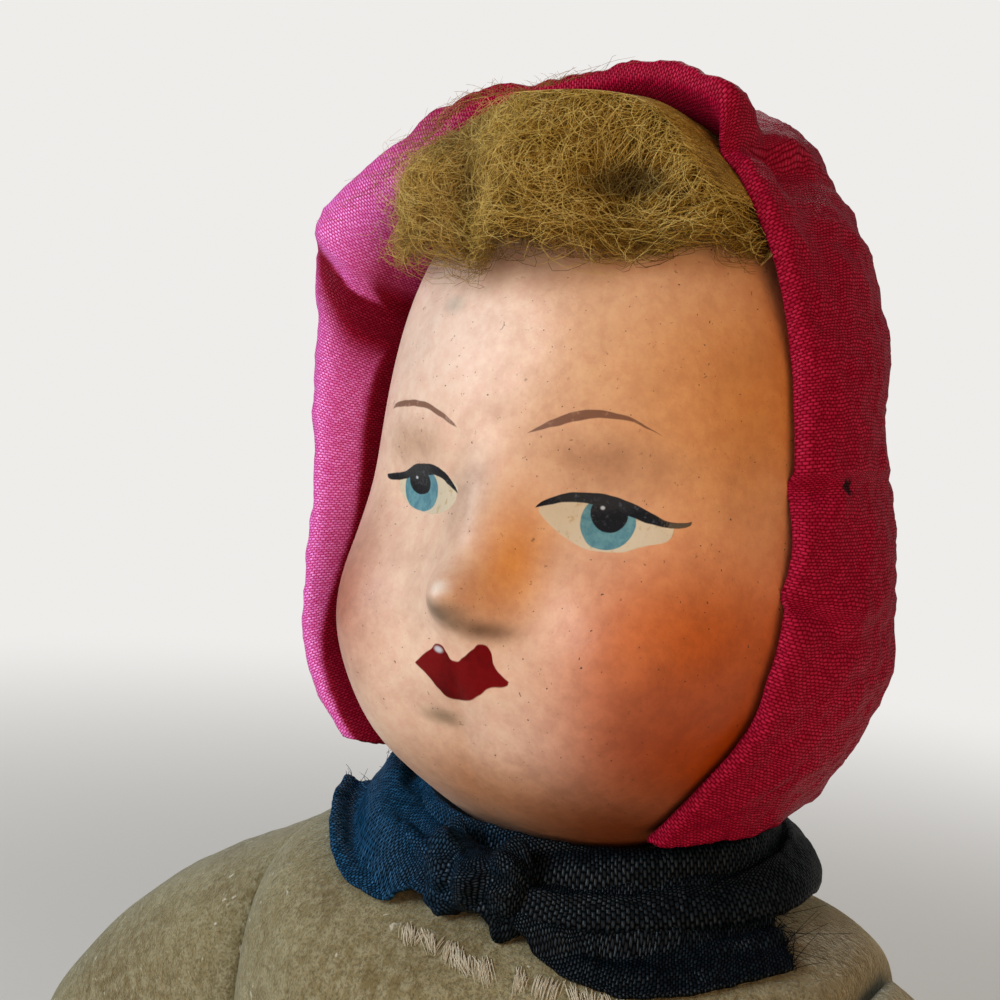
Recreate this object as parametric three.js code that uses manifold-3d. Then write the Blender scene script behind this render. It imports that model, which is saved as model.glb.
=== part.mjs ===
// A seated cloth doll with a moulded mask face, in millimetres, facing -Y with +Z up.
// The origin is the middle of the flat seat. The doll's left side is +X.
// A velveteen body bag carries two arms and two legs on card disc joints and the head on
// a disc joint in the neck. The head is a pressed and painted mask sewn to a calico back,
// with a mohair fringe under the front edge of a sateen hood, and a ribbon scarf lies
// round the neck.
import * as THREE from 'three';
import { mergeVertices } from 'three/addons/utils/BufferGeometryUtils.js';
import Module from 'manifold-3d';

const wasm = await Module();
wasm.setup();

// Clearances
const SEAM_GAP = 0.3;
const FILL_GAP = 1.2;
const PIN_CLEARANCE = 0.35;
const POCKET_CLEARANCE = 0.5;
const CHIN_CLEARANCE = 1.2;
const FLOOR_GAP = 0.6;

// Cloth, mask and card thicknesses
const VELVETEEN = 1.2;
const CALICO = 1.0;
const MASK_WALL = 1.4;
const HOOD_CLOTH = 1.6;
const DISC_CARD = 1.5;
const SOLE_CARD = 1.2;

// Body bag, from the seat upwards
const TORSO_HEIGHT = 128.6;
const JOINT_HALF_WIDTH = 36;
const SIDE_SWELL = 4.5;
const SEAT_HALF_WIDTH = 25;
const SEAT_HALF_DEPTH = 21;
const HIP_HALF_DEPTH = 34;
const WAIST_HEIGHT = 70;
const WAIST_HALF_WIDTH = 33.5;
const WAIST_HALF_DEPTH = 30;
const CHEST_HALF_DEPTH = 33;
const SEAT_CORNER_HEIGHT = 6;
const SEAT_CORNER_INSET = 5;
const JOINT_FLAT_MARGIN = 3;
const SHOULDER_EDGE = [
  { drop: 1, half: 0, depth: -2 },
  { drop: 0.5, half: -1, depth: -5 },
  { drop: 0.17, half: -3.5, depth: -12 },
];
const RIDGE_HALF_WIDTH = 30;
const RIDGE_HALF_DEPTH = 11;
const SHOULDER_ROUND = 12;
const BODY_SQUARENESS = 2.4;

// Head egg, measured from its centre, which lies a little below the eye line
const FACE_HALF_WIDTH = 27;
const CROWN_RISE = 42.5;
const CROWN_SQUARENESS = 2.5;
const CHIN_DROP = 40.5;
const FACE_DEPTH = 25.6;
const HEAD_BACK_DEPTH = 28;
const CHIN_ABOVE_SHOULDERS = 0.9;
const EYE_ABOVE_CENTRE = 2;
const EGG_TAPER = 0.03;
const JOWL_WIDENING = 0.13;
const JOWL_LEVEL = -18.5;
const JOWL_SPREAD = 12.5;
const MASK_EDGE = 80;
const MASK_CHIN_TRIM = 8;
const MASK_CHIN_TRIM_SPREAD = 25;
const RELIEF_FADE_START = 72;
const RELIEF_FADE_END = 95;

// Relief of the mask: each feature stands forward of the egg by its height. Places are
// measured across from the middle of the face and up from the eye line.
const NOSE = { across: 0, level: -9.2, wide: 3.7, tall: 3.7, height: 4.8 };
const BRIDGE = { across: 0, level: -3, wide: 4.6, tall: 6.5, height: 1.8 };
const EYE_HOLLOW = { across: 11.5, level: -1, wide: 7, tall: 4.6, height: -2 };
const MUZZLE = { across: 0, level: -16.5, wide: 8, tall: 7, height: 3.5 };
const CHEEK = { across: 18, level: -14, wide: 8.5, tall: 8.5, height: 4.3 };
const JOWL = { across: 14, level: -26, wide: 10, tall: 10, height: 5.4 };
const CHIN = { across: 0, level: -29, wide: 8, tall: 6.5, height: 2.5 };

// Neck joint
const NECK_SET_BACK = 4;
const NECK_RADIUS = 9.8;
const NECK_FACE_ABOVE_CHIN = 5.5;
const NECK_DISC_RADIUS = 8;

// Hood
const HOOD_EDGE = 78;
const HOOD_REST_GAP = 0.7;
const HOOD_EASE = 3.2;
const HOOD_FOLD_COUNT = 9;
const HOOD_FOLD_DEPTH = 0.8;
const HOOD_HEM_BELOW_EYES = 33.5;
const HOOD_CORNERS = [
  { around: 50, spread: 20, swell: 2.5 },
  { around: 130, spread: 20, swell: 2.5 },
];
const BRIM_LENGTH = { left: 7, top: 3.5, right: 9.8 };
const BRIM_ROLL = 1.6;
// How far the brim stands out from the head at angles round the face, from its left side
const BRIM_FLARES = [
  { around: -90, out: 0.4 },
  { around: -40, out: -0.6 },
  { around: 0, out: 1 },
  { around: 50, out: 3 },
  { around: 90, out: 1 },
  { around: 118, out: 4.4 },
  { around: 145, out: 7.5 },
  { around: 158, out: 2 },
  { around: 185, out: 0.6 },
  { around: 225, out: -2.6 },
  { around: 270, out: 0.4 },
];
const TUCKS = [
  { around: 4, spread: 5, depth: 1.3 },
  { around: -22, spread: 5, depth: 1.1 },
];

// Mohair fringe
const FRINGE_HALF_WIDTH = 22;
const FRINGE_HAIRLINE = 26;
const FRINGE_TOP = 39.5;
const FRINGE_THICKNESS = 8;
const FRINGE_EDGE = 1.2;
const FRINGE_THIN_FROM = 48;
const FRINGE_UNDER_HOOD = 2;
const FRINGE_CURLS = 7;
const FRINGE_CURL_DEPTH = 0.8;

// Arms: the spine's points are measured outwards and upwards from the shoulder joint. It
// starts inside the body's flat side, where the arm is cut off flat to lie against it.
const SHOULDER_BELOW_TOP = 20;
const SHOULDER_DISC_RADIUS = 10;
const ARM_SPINE = [[-14, 10.5], [-4, 3], [5, -4], [16, -12], [30, -23], [44, -42], [52, -58], [56, -72]];
const HAND_CAP = 9;
const ARM_STATIONS = [
  { along: 0, half: 14, depth: 15 },
  { along: 12, half: 14.5, depth: 16.5 },
  { along: 24, half: 16.5, depth: 18 },
  { along: 38, half: 17.5, depth: 18 },
  { along: 57, half: 16, depth: 16 },
  { along: 78, half: 12.5, depth: 12 },
  { along: 92, half: 10.5, depth: 10 },
  { along: 102, half: 12, depth: 9 },
  { along: 111, half: 11.5, depth: 8.5 },
];

// Legs: stations run forwards from the hip joint
const HIP_DISC_RADIUS = 11.5;
const LEG_LENGTH = 144;
const LEG_BACK_REACH = 22;
const LEG_CAP = 14;
const FOOT_THICKNESS = 20;
const THIGH_HALF_WIDTH = 19;
const THIGH_HALF_HEIGHT = 21;
const KNEE_HALF_WIDTH = 14.5;
const KNEE_HALF_HEIGHT = 15.5;
const ANKLE_HALF_WIDTH = 12;
const ANKLE_HALF_HEIGHT = 13;
const FOOT_HALF_WIDTH = 14.5;
const FOOT_HALF_HEIGHT = 26;
const THIGH_OUT = 10.5;
const FOOT_OUT = 20;
const LEG_STATIONS = [
  legStation(-LEG_BACK_REACH, 0, THIGH_HALF_WIDTH, THIGH_HALF_HEIGHT),
  legStation(0, 0, THIGH_HALF_WIDTH, THIGH_HALF_HEIGHT),
  legStation(LEG_LENGTH * 0.25, 0.37, THIGH_HALF_WIDTH - 1.5, THIGH_HALF_HEIGHT - 1.5),
  legStation(LEG_LENGTH * 0.52, 0.68, KNEE_HALF_WIDTH, KNEE_HALF_HEIGHT),
  legStation(LEG_LENGTH * 0.76, 0.9, ANKLE_HALF_WIDTH, ANKLE_HALF_HEIGHT),
  legStation(LEG_LENGTH - FOOT_THICKNESS, 0.95, FOOT_HALF_WIDTH - 1.5, FOOT_HALF_HEIGHT - 7),
  legStation(LEG_LENGTH - FOOT_THICKNESS / 2, 1, FOOT_HALF_WIDTH - 0.5, FOOT_HALF_HEIGHT - 1),
  legStation(LEG_LENGTH, 1, FOOT_HALF_WIDTH, FOOT_HALF_HEIGHT),
];

// A cross-section of the leg: how far forward and how far out it is, and its half sizes
function legStation(forward, spread, half, tall) {
  return { forward, out: THIGH_OUT + spread * (FOOT_OUT - THIGH_OUT), half, tall };
}

// Split pins
const PIN_RADIUS = 1;
const PIN_HEAD_RADIUS = 2.4;
const PIN_HEAD_THICKNESS = 1.2;
const PRONG_REACH = 5;
const PRONG_WIDTH = 1.6;
const PRONG_THICKNESS = 0.8;
const PRONG_CURL = 1.4;

// Ribbon scarf
const SCARF_RADIUS = 19;
const SCARF_HALF_WIDTH = 7;
const SCARF_HALF_THICKNESS = 2.4;
const SCARF_SLOPE = 32;
const SCARF_FOLDS = 3;
const SCARF_FOLD_DEPTH = 0.6;
const KNOT_HALF = { across: 6, deep: 4.6, tall: 5 };
const KNOT_RIDGES = 5;
const KNOT_RIDGE_DEPTH = 0.5;
const TAIL_THICKNESS = 2.2;
const LEFT_TAIL = { from: -74, to: -8, reach: 23.5, end: 25.5, half: 6.5, rise: 0.4 };
const RIGHT_TAIL = { from: -106, to: -166, reach: 23, end: 24, half: 6, rise: 1.6 };

// Counts of facets
const HEAD_COLUMNS = 36;
const MASK_ROWS = 14;
const BACK_ROWS = 6;
const FILLING_COLUMNS = 24;
const FILLING_MASK_ROWS = 9;
const FILLING_BACK_ROWS = 4;
const HOOD_ROWS = 7;
const BRIM_ROWS = 2;
const BODY_COLUMNS = 16;
const LIMB_COLUMNS = 12;
const LIMB_ROWS = 13;
const ROUND_SIDES = 14;
const PIN_SIDES = 10;
const SCARF_STEPS = 24;
const SCARF_SECTION = 10;

// Places worked out from the sizes above
const headCentre = new THREE.Vector3(0, 0, TORSO_HEIGHT + CHIN_ABOVE_SHOULDERS + CHIN_DROP);
const eyeHeight = headCentre.z + EYE_ABOVE_CENTRE;
const neckFace = headCentre.z - CHIN_DROP + NECK_FACE_ABOVE_CHIN;
const neckJoint = new THREE.Vector3(0, NECK_SET_BACK, neckFace);
// The neck joint is measured from the head's face, so the body's wall lies a gap below it
const neckWall = SEAM_GAP + VELVETEEN;
const shoulderJoint = new THREE.Vector3(JOINT_HALF_WIDTH, 0, TORSO_HEIGHT - SHOULDER_BELOW_TOP);
const hipHeight = THIGH_HALF_HEIGHT + FLOOR_GAP;
const hipJoint = new THREE.Vector3(JOINT_HALF_WIDTH, 0, hipHeight);

const turn = Math.PI * 2;
const radians = THREE.MathUtils.degToRad;
const bell = (offset, spread) => Math.exp(-((offset / spread) ** 2));
const angleFrom = (angle, middle) => Math.atan2(Math.sin(angle - middle), Math.cos(angle - middle));
const span = (count) => Array.from({ length: count + 1 }, (_, index) => index / count);

// Closed skin over a stack of rings that have equal numbers of points. The ends are
// closed by fans, or the last ring joins the first where the stack is a loop.
function skinOver(rings, loop = false) {
  const columns = rings[0].length;
  const points = rings.flat();
  const indices = [];
  const strips = loop ? rings.length : rings.length - 1;
  for (let row = 0; row < strips; row += 1) {
    const start = row * columns;
    const next = ((row + 1) % rings.length) * columns;
    for (let column = 0; column < columns; column += 1) {
      const right = (column + 1) % columns;
      indices.push(start + column, start + right, next + right);
      indices.push(start + column, next + right, next + column);
    }
  }
  if (!loop) {
    const last = (rings.length - 1) * columns;
    const first = points.length;
    points.push(middleOf(rings[0]), middleOf(rings[rings.length - 1]));
    for (let column = 0; column < columns; column += 1) {
      const right = (column + 1) % columns;
      indices.push(first, right, column);
      indices.push(first + 1, last + column, last + right);
    }
  }
  const geometry = new THREE.BufferGeometry().setFromPoints(points);
  geometry.setIndex(indices);
  return facingOut(geometry);
}

function middleOf(points) {
  const middle = new THREE.Vector3();
  points.forEach((point) => middle.add(point));
  return middle.divideScalar(points.length);
}

function facingOut(geometry) {
  const place = geometry.attributes.position;
  const index = geometry.index.array;
  const corners = [new THREE.Vector3(), new THREE.Vector3(), new THREE.Vector3()];
  let volume = 0;
  for (let at = 0; at < index.length; at += 3) {
    corners.forEach((corner, step) => corner.fromBufferAttribute(place, index[at + step]));
    volume += corners[0].dot(corners[1].clone().cross(corners[2]));
  }
  if (volume < 0) {
    geometry.setIndex(Array.from(index).reverse());
  }
  return geometry;
}

// Solids for joining and cutting
function solidOf(geometry) {
  const bare = geometry.clone();
  bare.deleteAttribute('normal');
  bare.deleteAttribute('uv');
  const welded = mergeVertices(bare, 1e-4);
  const index = welded.index.array;
  const triangles = [];
  for (let at = 0; at < index.length; at += 3) {
    const [a, b, c] = index.slice(at, at + 3);
    if (a !== b && b !== c && c !== a) {
      triangles.push(a, b, c);
    }
  }
  return new wasm.Manifold(new wasm.Mesh({
    numProp: 3,
    vertProperties: new Float32Array(welded.attributes.position.array),
    triVerts: new Uint32Array(triangles),
  }));
}

function geometryOf(solid) {
  const mesh = solid.getMesh();
  const geometry = new THREE.BufferGeometry();
  geometry.setAttribute('position', new THREE.Float32BufferAttribute(mesh.vertProperties, 3));
  geometry.setIndex(Array.from(mesh.triVerts));
  return geometry;
}

function block(low, high) {
  const size = high.clone().sub(low);
  const geometry = new THREE.BoxGeometry(size.x, size.y, size.z);
  const middle = low.clone().add(high).multiplyScalar(0.5);
  return solidOf(geometry.translate(middle.x, middle.y, middle.z));
}

const FAR = 500;
const corner = (x, y, z) => new THREE.Vector3(x, y, z);
const above = (height) => block(corner(-FAR, -FAR, height), corner(FAR, FAR, FAR));
const outside = (across) => block(corner(across, -FAR, -FAR), corner(FAR, FAR, FAR));
const between = (across) => block(corner(-across, -FAR, -FAR), corner(across, FAR, FAR));

// Round bar about an axis that starts at a joint: the axis is 'x', pointing out of the
// doll's left side, or 'z', pointing up.
function roundBar(joint, axis, radius, from, to, sides = ROUND_SIDES) {
  const geometry = new THREE.CylinderGeometry(radius, radius, to - from, sides);
  geometry.translate(0, (from + to) / 2, 0);
  return solidOf(alongAxis(geometry, joint, axis));
}

function alongAxis(geometry, joint, axis) {
  if (axis === 'x') {
    geometry.rotateZ(-Math.PI / 2);
  } else {
    geometry.rotateX(Math.PI / 2);
  }
  return geometry.translate(joint.x, joint.y, joint.z);
}

// Body bag: rings from the seat up to the ridge of the shoulders
const jointHalfWidth = JOINT_HALF_WIDTH + SIDE_SWELL;
const hipFlat = HIP_DISC_RADIUS + JOINT_FLAT_MARGIN;
const torsoStations = [
  { height: 0, half: SEAT_HALF_WIDTH, depth: SEAT_HALF_DEPTH },
  {
    height: SEAT_CORNER_HEIGHT,
    half: jointHalfWidth - SEAT_CORNER_INSET,
    depth: HIP_HALF_DEPTH - SEAT_CORNER_INSET,
  },
  { height: hipJoint.z - SEAT_CORNER_HEIGHT, half: jointHalfWidth, depth: HIP_HALF_DEPTH },
  { height: hipJoint.z + hipFlat, half: jointHalfWidth, depth: HIP_HALF_DEPTH },
  { height: WAIST_HEIGHT, half: WAIST_HALF_WIDTH, depth: WAIST_HALF_DEPTH },
  { height: shoulderJoint.z - SHOULDER_DISC_RADIUS, half: jointHalfWidth, depth: CHEST_HALF_DEPTH },
  ...SHOULDER_EDGE.map(({ drop, half, depth }) => ({
    height: TORSO_HEIGHT - drop * SHOULDER_ROUND,
    half: jointHalfWidth + half,
    depth: CHEST_HALF_DEPTH + depth,
  })),
  { height: TORSO_HEIGHT, half: RIDGE_HALF_WIDTH, depth: RIDGE_HALF_DEPTH },
];

const superRound = (value) => Math.sign(value) * Math.abs(value) ** (2 / BODY_SQUARENESS);

function torsoBag(inset) {
  const rings = torsoStations.map(({ height, half, depth }) => {
    const share = height / TORSO_HEIGHT;
    const level = inset + share * (TORSO_HEIGHT - 2 * inset);
    return span(BODY_COLUMNS).slice(1).map((part) => new THREE.Vector3(
      (half - inset) * superRound(Math.cos(part * turn)),
      (depth - inset) * superRound(Math.sin(part * turn)),
      level,
    ));
  });
  const bag = solidOf(skinOver(rings)).intersect(between(JOINT_HALF_WIDTH - inset));
  const root = -SHOULDER_ROUND - NECK_FACE_ABOVE_CHIN;
  const neck = roundBar(neckJoint, 'z', NECK_RADIUS - inset, root, -SEAM_GAP - inset);
  return bag.add(neck);
}

// Height of the shoulders' upper surface above the seat
function shoulderTop(x, y) {
  const crowned = torsoStations.slice(5);
  let height = crowned[0].height;
  for (let step = 1; step < crowned.length; step += 1) {
    const lower = crowned[step - 1];
    const upper = crowned[step];
    for (const part of span(8)) {
      const half = THREE.MathUtils.lerp(lower.half, upper.half, part);
      const depth = THREE.MathUtils.lerp(lower.depth, upper.depth, part);
      const reach = Math.abs(x / half) ** BODY_SQUARENESS + Math.abs(y / depth) ** BODY_SQUARENESS;
      if (reach <= 1) {
        height = THREE.MathUtils.lerp(lower.height, upper.height, part);
      }
    }
  }
  return height;
}

// Head egg with the relief of the face
function standing(feature, across, level) {
  const sideways = bell(Math.abs(across) - feature.across, feature.wide);
  return feature.height * sideways * bell(level - feature.level, feature.tall);
}

const relief = [NOSE, BRIDGE, EYE_HOLLOW, MUZZLE, CHEEK, JOWL, CHIN];

// The crown is squarer than an ellipse, and the lower half of the face is not
function crownReach(around) {
  const power = CROWN_SQUARENESS;
  const squared = Math.abs(Math.cos(around)) ** power + Math.abs(Math.sin(around)) ** power;
  return Math.sin(around) > 0 ? squared ** (-1 / power) : 1;
}

function headPoint(polar, around, inset = 0) {
  const reach = Math.sin(polar) * crownReach(around);
  const rise = Math.sin(around);
  const tall = (rise > 0 ? CROWN_RISE : CHIN_DROP) - inset;
  const level = tall * reach * rise - EYE_ABOVE_CENTRE;
  const taper = 1 - EGG_TAPER * reach * rise;
  const widening = 1 + JOWL_WIDENING * bell(level - JOWL_LEVEL, JOWL_SPREAD);
  const across = (FACE_HALF_WIDTH - inset) * reach * Math.cos(around) * taper * widening;
  const deep = (polar < Math.PI / 2 ? FACE_DEPTH : HEAD_BACK_DEPTH) - inset;
  const fade = 1 - THREE.MathUtils.smoothstep(polar, radians(RELIEF_FADE_START), radians(RELIEF_FADE_END));
  const raised = relief.reduce((sum, feature) => sum + standing(feature, across, level), 0);
  return new THREE.Vector3(across, -deep * Math.cos(polar) - fade * raised, eyeHeight + level);
}

const columnsRound = (columns) => span(columns).slice(1).map((part) => part * turn);
const aroundHead = columnsRound(HEAD_COLUMNS);
const headRing = (columns, polarAt, inset) => columnsRound(columns)
  .map((around) => headPoint(polarAt(around), around, inset));

function maskEdge(around) {
  const trim = MASK_CHIN_TRIM * bell(angleFrom(around, -Math.PI / 2), radians(MASK_CHIN_TRIM_SPREAD));
  return radians(MASK_EDGE - trim);
}

function maskRings(inset, rows = MASK_ROWS, columns = HEAD_COLUMNS) {
  return span(rows).slice(1)
    .map((part) => headRing(columns, (around) => maskEdge(around) * part ** 0.9, inset));
}

function backRings(inset, rows = BACK_ROWS, columns = HEAD_COLUMNS) {
  const seamAngle = SEAM_GAP / HEAD_BACK_DEPTH;
  return span(rows).slice(0, -1).map((part) => headRing(columns, (around) => {
    const edge = maskEdge(around) + seamAngle;
    return edge + (Math.PI - edge) * part;
  }, inset));
}

const headEnvelope = (inset) => solidOf(skinOver([...maskRings(inset), ...backRings(inset)]));

function faceMask() {
  return solidOf(skinOver([...maskRings(0), ...maskRings(MASK_WALL).reverse()]));
}

function headBack() {
  const bowl = solidOf(skinOver([...backRings(CALICO).reverse(), ...backRings(0)]));
  const lining = MASK_WALL + FILL_GAP;
  const plug = solidOf(skinOver([...maskRings(lining), ...backRings(SEAM_GAP)]));
  const plate = plug.intersect(above(neckFace)).subtract(above(neckFace + CALICO));
  const hole = roundBar(neckJoint, 'z', PIN_RADIUS + PIN_CLEARANCE, -1, CALICO + 1);
  return bowl.intersect(above(neckFace)).add(plate).subtract(hole);
}

function headStuffing() {
  const front = maskRings(MASK_WALL + FILL_GAP, FILLING_MASK_ROWS, FILLING_COLUMNS);
  const back = backRings(CALICO + FILL_GAP, FILLING_BACK_ROWS, FILLING_COLUMNS);
  const filling = solidOf(skinOver([...front, ...back]));
  const pocket = discPocket(neckJoint, 'z', NECK_DISC_RADIUS, CALICO);
  return filling.intersect(above(neckFace + CALICO + SEAM_GAP)).subtract(pocket);
}

// Hood: a cap eased off the head, with a brim that flares forwards beside the face
function brimLength(around) {
  const { left, top, right } = BRIM_LENGTH;
  const side = THREE.MathUtils.lerp(right, left, (1 + Math.cos(around)) / 2);
  return THREE.MathUtils.lerp(side, top, bell(angleFrom(around, Math.PI / 2), radians(40)));
}

// Angle round the face in degrees, from -90 at the chin to 270 there again
function degreesRound(around) {
  return THREE.MathUtils.euclideanModulo(THREE.MathUtils.radToDeg(around) + 90, 360) - 90;
}

function brimFlare(around) {
  const angle = degreesRound(around);
  const next = Math.max(1, BRIM_FLARES.findIndex((flare) => flare.around >= angle));
  const [lower, upper] = [BRIM_FLARES[next - 1], BRIM_FLARES[next]];
  const part = (angle - lower.around) / (upper.around - lower.around);
  return THREE.MathUtils.lerp(lower.out, upper.out, part);
}

const cornerSwell = (around) => HOOD_CORNERS.reduce(
  (sum, bulge) => sum + bulge.swell * bell(angleFrom(around, radians(bulge.around)), radians(bulge.spread)),
  0,
);

const tuckAt = (around) => TUCKS.reduce(
  (sum, tuck) => sum + tuck.depth * bell(angleFrom(around, radians(tuck.around)), radians(tuck.spread)),
  0,
);

function capRing(part, lift) {
  const polar = THREE.MathUtils.lerp(radians(HOOD_EDGE), Math.PI, part);
  const swell = Math.sin(Math.PI * part) ** 0.7;
  return aroundHead.map((around) => {
    const fold = HOOD_FOLD_DEPTH * Math.cos(HOOD_FOLD_COUNT * around);
    const ease = HOOD_REST_GAP + swell * (HOOD_EASE + fold + cornerSwell(around));
    return headPoint(polar, around, -ease - lift);
  });
}

function brimRing(part, lift) {
  const roll = BRIM_ROLL * part * Math.sign(lift);
  return aroundHead.map((around) => {
    const root = headPoint(radians(HOOD_EDGE), around, -HOOD_REST_GAP - lift);
    const outward = new THREE.Vector3(Math.cos(around), 0, Math.sin(around));
    const flare = part * (brimFlare(around) - tuckAt(around)) + roll;
    const forward = new THREE.Vector3(0, -part * brimLength(around), 0);
    return root.add(outward.multiplyScalar(flare)).add(forward);
  });
}

function hoodShell(grow = 0) {
  const cap = span(HOOD_ROWS).slice(0, -1);
  const brim = span(BRIM_ROWS).slice(1);
  const outer = HOOD_CLOTH + grow;
  const rings = [
    ...cap.map((part) => capRing(part, -grow)).reverse(),
    ...brim.map((part) => brimRing(part, -grow)),
    ...brim.map((part) => brimRing(part, outer)).reverse(),
    ...cap.map((part) => capRing(part, outer)),
  ];
  return solidOf(skinOver(rings)).intersect(above(eyeHeight - HOOD_HEM_BELOW_EYES - grow));
}

// Mohair fringe: a curly pad on the forehead, under the front of the hood
function fringePad() {
  const columns = 16;
  const rows = 6;
  const bottom = Math.asin((FRINGE_HAIRLINE + EYE_ABOVE_CENTRE) / CROWN_RISE);
  const top = Math.asin((FRINGE_TOP + EYE_ABOVE_CENTRE) / CROWN_RISE);
  const rings = span(columns).slice(1, -1).map((across) => {
    const side = across * 2 - 1;
    const upper = [];
    const lower = [];
    span(rows).forEach((part) => {
      const polar = THREE.MathUtils.lerp(bottom, top, part);
      const tall = CROWN_RISE * Math.sin(polar);
      const x = side * FRINGE_HALF_WIDTH;
      const around = Math.atan2(tall / CROWN_RISE, x / FACE_HALF_WIDTH);
      const furthest = Math.sin(radians(HOOD_EDGE - FRINGE_UNDER_HOOD));
      const outward = Math.hypot(tall / CROWN_RISE, x / FACE_HALF_WIDTH) / crownReach(around);
      const reach = Math.asin(Math.min(furthest, outward));
      const tucked = THREE.MathUtils.smoothstep(reach, radians(FRINGE_THIN_FROM), radians(HOOD_EDGE));
      const curl = FRINGE_CURL_DEPTH * Math.cos(FRINGE_CURLS * Math.PI * across + 5 * part);
      const body = Math.sqrt(1 - side * side) * Math.sin(Math.PI * (0.12 + 0.88 * part)) ** 0.8;
      const thick = FRINGE_EDGE + body * (1 - tucked) * (FRINGE_THICKNESS - FRINGE_EDGE + curl);
      upper.push(headPoint(reach, around, -SEAM_GAP - thick));
      lower.push(headPoint(reach, around, MASK_WALL));
    });
    return [...upper, ...lower.reverse()];
  });
  return solidOf(skinOver(rings)).subtract(headEnvelope(-SEAM_GAP)).subtract(hoodShell(SEAM_GAP));
}

// Limbs
function stationAt(stations, key, place) {
  const next = Math.max(1, stations.findIndex((station) => station[key] >= place));
  const upper = stations[next];
  const lower = stations[next - 1];
  const part = THREE.MathUtils.smootherstep(place, lower[key], upper[key]);
  return (name) => THREE.MathUtils.lerp(lower[name], upper[name], part);
}

const capRound = (distance, cap) => Math.sqrt(1 - (1 - Math.min(1, distance / cap)) ** 2);
const eased = (part) => (1 - Math.cos(Math.PI * part)) / 2;

function armForm(inset) {
  const inner = JOINT_HALF_WIDTH + SEAM_GAP;
  const spine = new THREE.CatmullRomCurve3(
    ARM_SPINE.map(([out, up]) => corner(inner + out, 0, shoulderJoint.z + up)),
  );
  const length = spine.getLength();
  const depthwise = corner(0, 1, 0);
  const rings = span(LIMB_ROWS).slice(1, -1).map((part) => {
    const along = THREE.MathUtils.lerp(inset, length - inset, eased(part));
    const share = along / length;
    const size = stationAt(ARM_STATIONS, 'along', share * ARM_STATIONS.at(-1).along);
    const ends = capRound(length - inset - along, HAND_CAP);
    const sideways = spine.getTangentAt(share).cross(depthwise);
    const middle = spine.getPointAt(share);
    return span(LIMB_COLUMNS).slice(1).map((step) => middle.clone()
      .addScaledVector(sideways, (size('half') - inset) * ends * Math.cos(step * turn))
      .addScaledVector(depthwise, (size('depth') - inset) * ends * Math.sin(step * turn)));
  });
  return solidOf(skinOver(rings)).intersect(outside(inner + inset));
}

function legForm(inset, soleInset = inset) {
  const inner = JOINT_HALF_WIDTH + SEAM_GAP;
  const start = -LEG_BACK_REACH + inset;
  const capRows = [0.1, 0.4, 1].map((part) => start + part * LEG_CAP);
  const lengthRows = LEG_STATIONS.slice(1).flatMap(({ forward }, index, ahead) => {
    const next = ahead[index + 1];
    return next ? [forward, (forward + next.forward) / 2] : [LEG_LENGTH - soleInset];
  });
  const rings = [...capRows, ...lengthRows].map((forward) => {
    const size = stationAt(LEG_STATIONS, 'forward', forward);
    const ends = capRound(forward - start, LEG_CAP);
    const middle = corner(inner + size('out'), hipJoint.y - forward, size('tall') + FLOOR_GAP);
    return span(LIMB_COLUMNS).slice(1).map((step) => middle.clone().add(corner(
      (size('half') - inset) * ends * Math.cos(step * turn),
      0,
      (size('tall') - inset) * ends * Math.sin(step * turn),
    )));
  });
  return solidOf(skinOver(rings)).intersect(outside(inner + inset));
}

function soleCard() {
  const end = LEG_STATIONS.at(-1);
  const edge = VELVETEEN + 2 * SEAM_GAP;
  const front = hipJoint.y - LEG_LENGTH + VELVETEEN + SEAM_GAP;
  const inner = JOINT_HALF_WIDTH + SEAM_GAP;
  const rings = [front, front + SOLE_CARD].map((y) => span(LIMB_COLUMNS).slice(1).map((step) => corner(
    inner + end.out + (end.half - edge) * Math.cos(step * turn),
    y,
    end.tall + FLOOR_GAP + (end.tall - edge) * Math.sin(step * turn),
  )));
  return solidOf(skinOver(rings));
}

// Disc joints: a card disc behind each cloth wall and a split pin through both
function jointDisc(joint, axis, radius, from) {
  const hole = PIN_RADIUS + PIN_CLEARANCE;
  const profile = [[hole, 0], [radius, 0], [radius, DISC_CARD], [hole, DISC_CARD], [hole, 0]]
    .map(([x, y]) => new THREE.Vector2(x, y + from));
  const geometry = facingOut(mergeVertices(bareOf(new THREE.LatheGeometry(profile, ROUND_SIDES)), 1e-4));
  return solidOf(alongAxis(geometry, joint, axis));
}

function bareOf(geometry) {
  geometry.deleteAttribute('normal');
  geometry.deleteAttribute('uv');
  return geometry;
}

// Distances along the joint's axis from the carrying wall's outer face
const nearDisc = (wall) => -wall - SEAM_GAP - DISC_CARD;
const farDisc = (wall) => SEAM_GAP + wall + SEAM_GAP;

function discPocket(joint, axis, radius, wall) {
  const depth = farDisc(wall) + DISC_CARD + 2 * SEAM_GAP + PRONG_THICKNESS + PRONG_CURL;
  return roundBar(joint, axis, radius + POCKET_CLEARANCE, 0, depth);
}

function carrierPocket(joint, axis, radius, wall) {
  const depth = -nearDisc(wall) + 2 * SEAM_GAP + PIN_HEAD_THICKNESS;
  return roundBar(joint, axis, radius + POCKET_CLEARANCE, -depth, 0);
}

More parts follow.
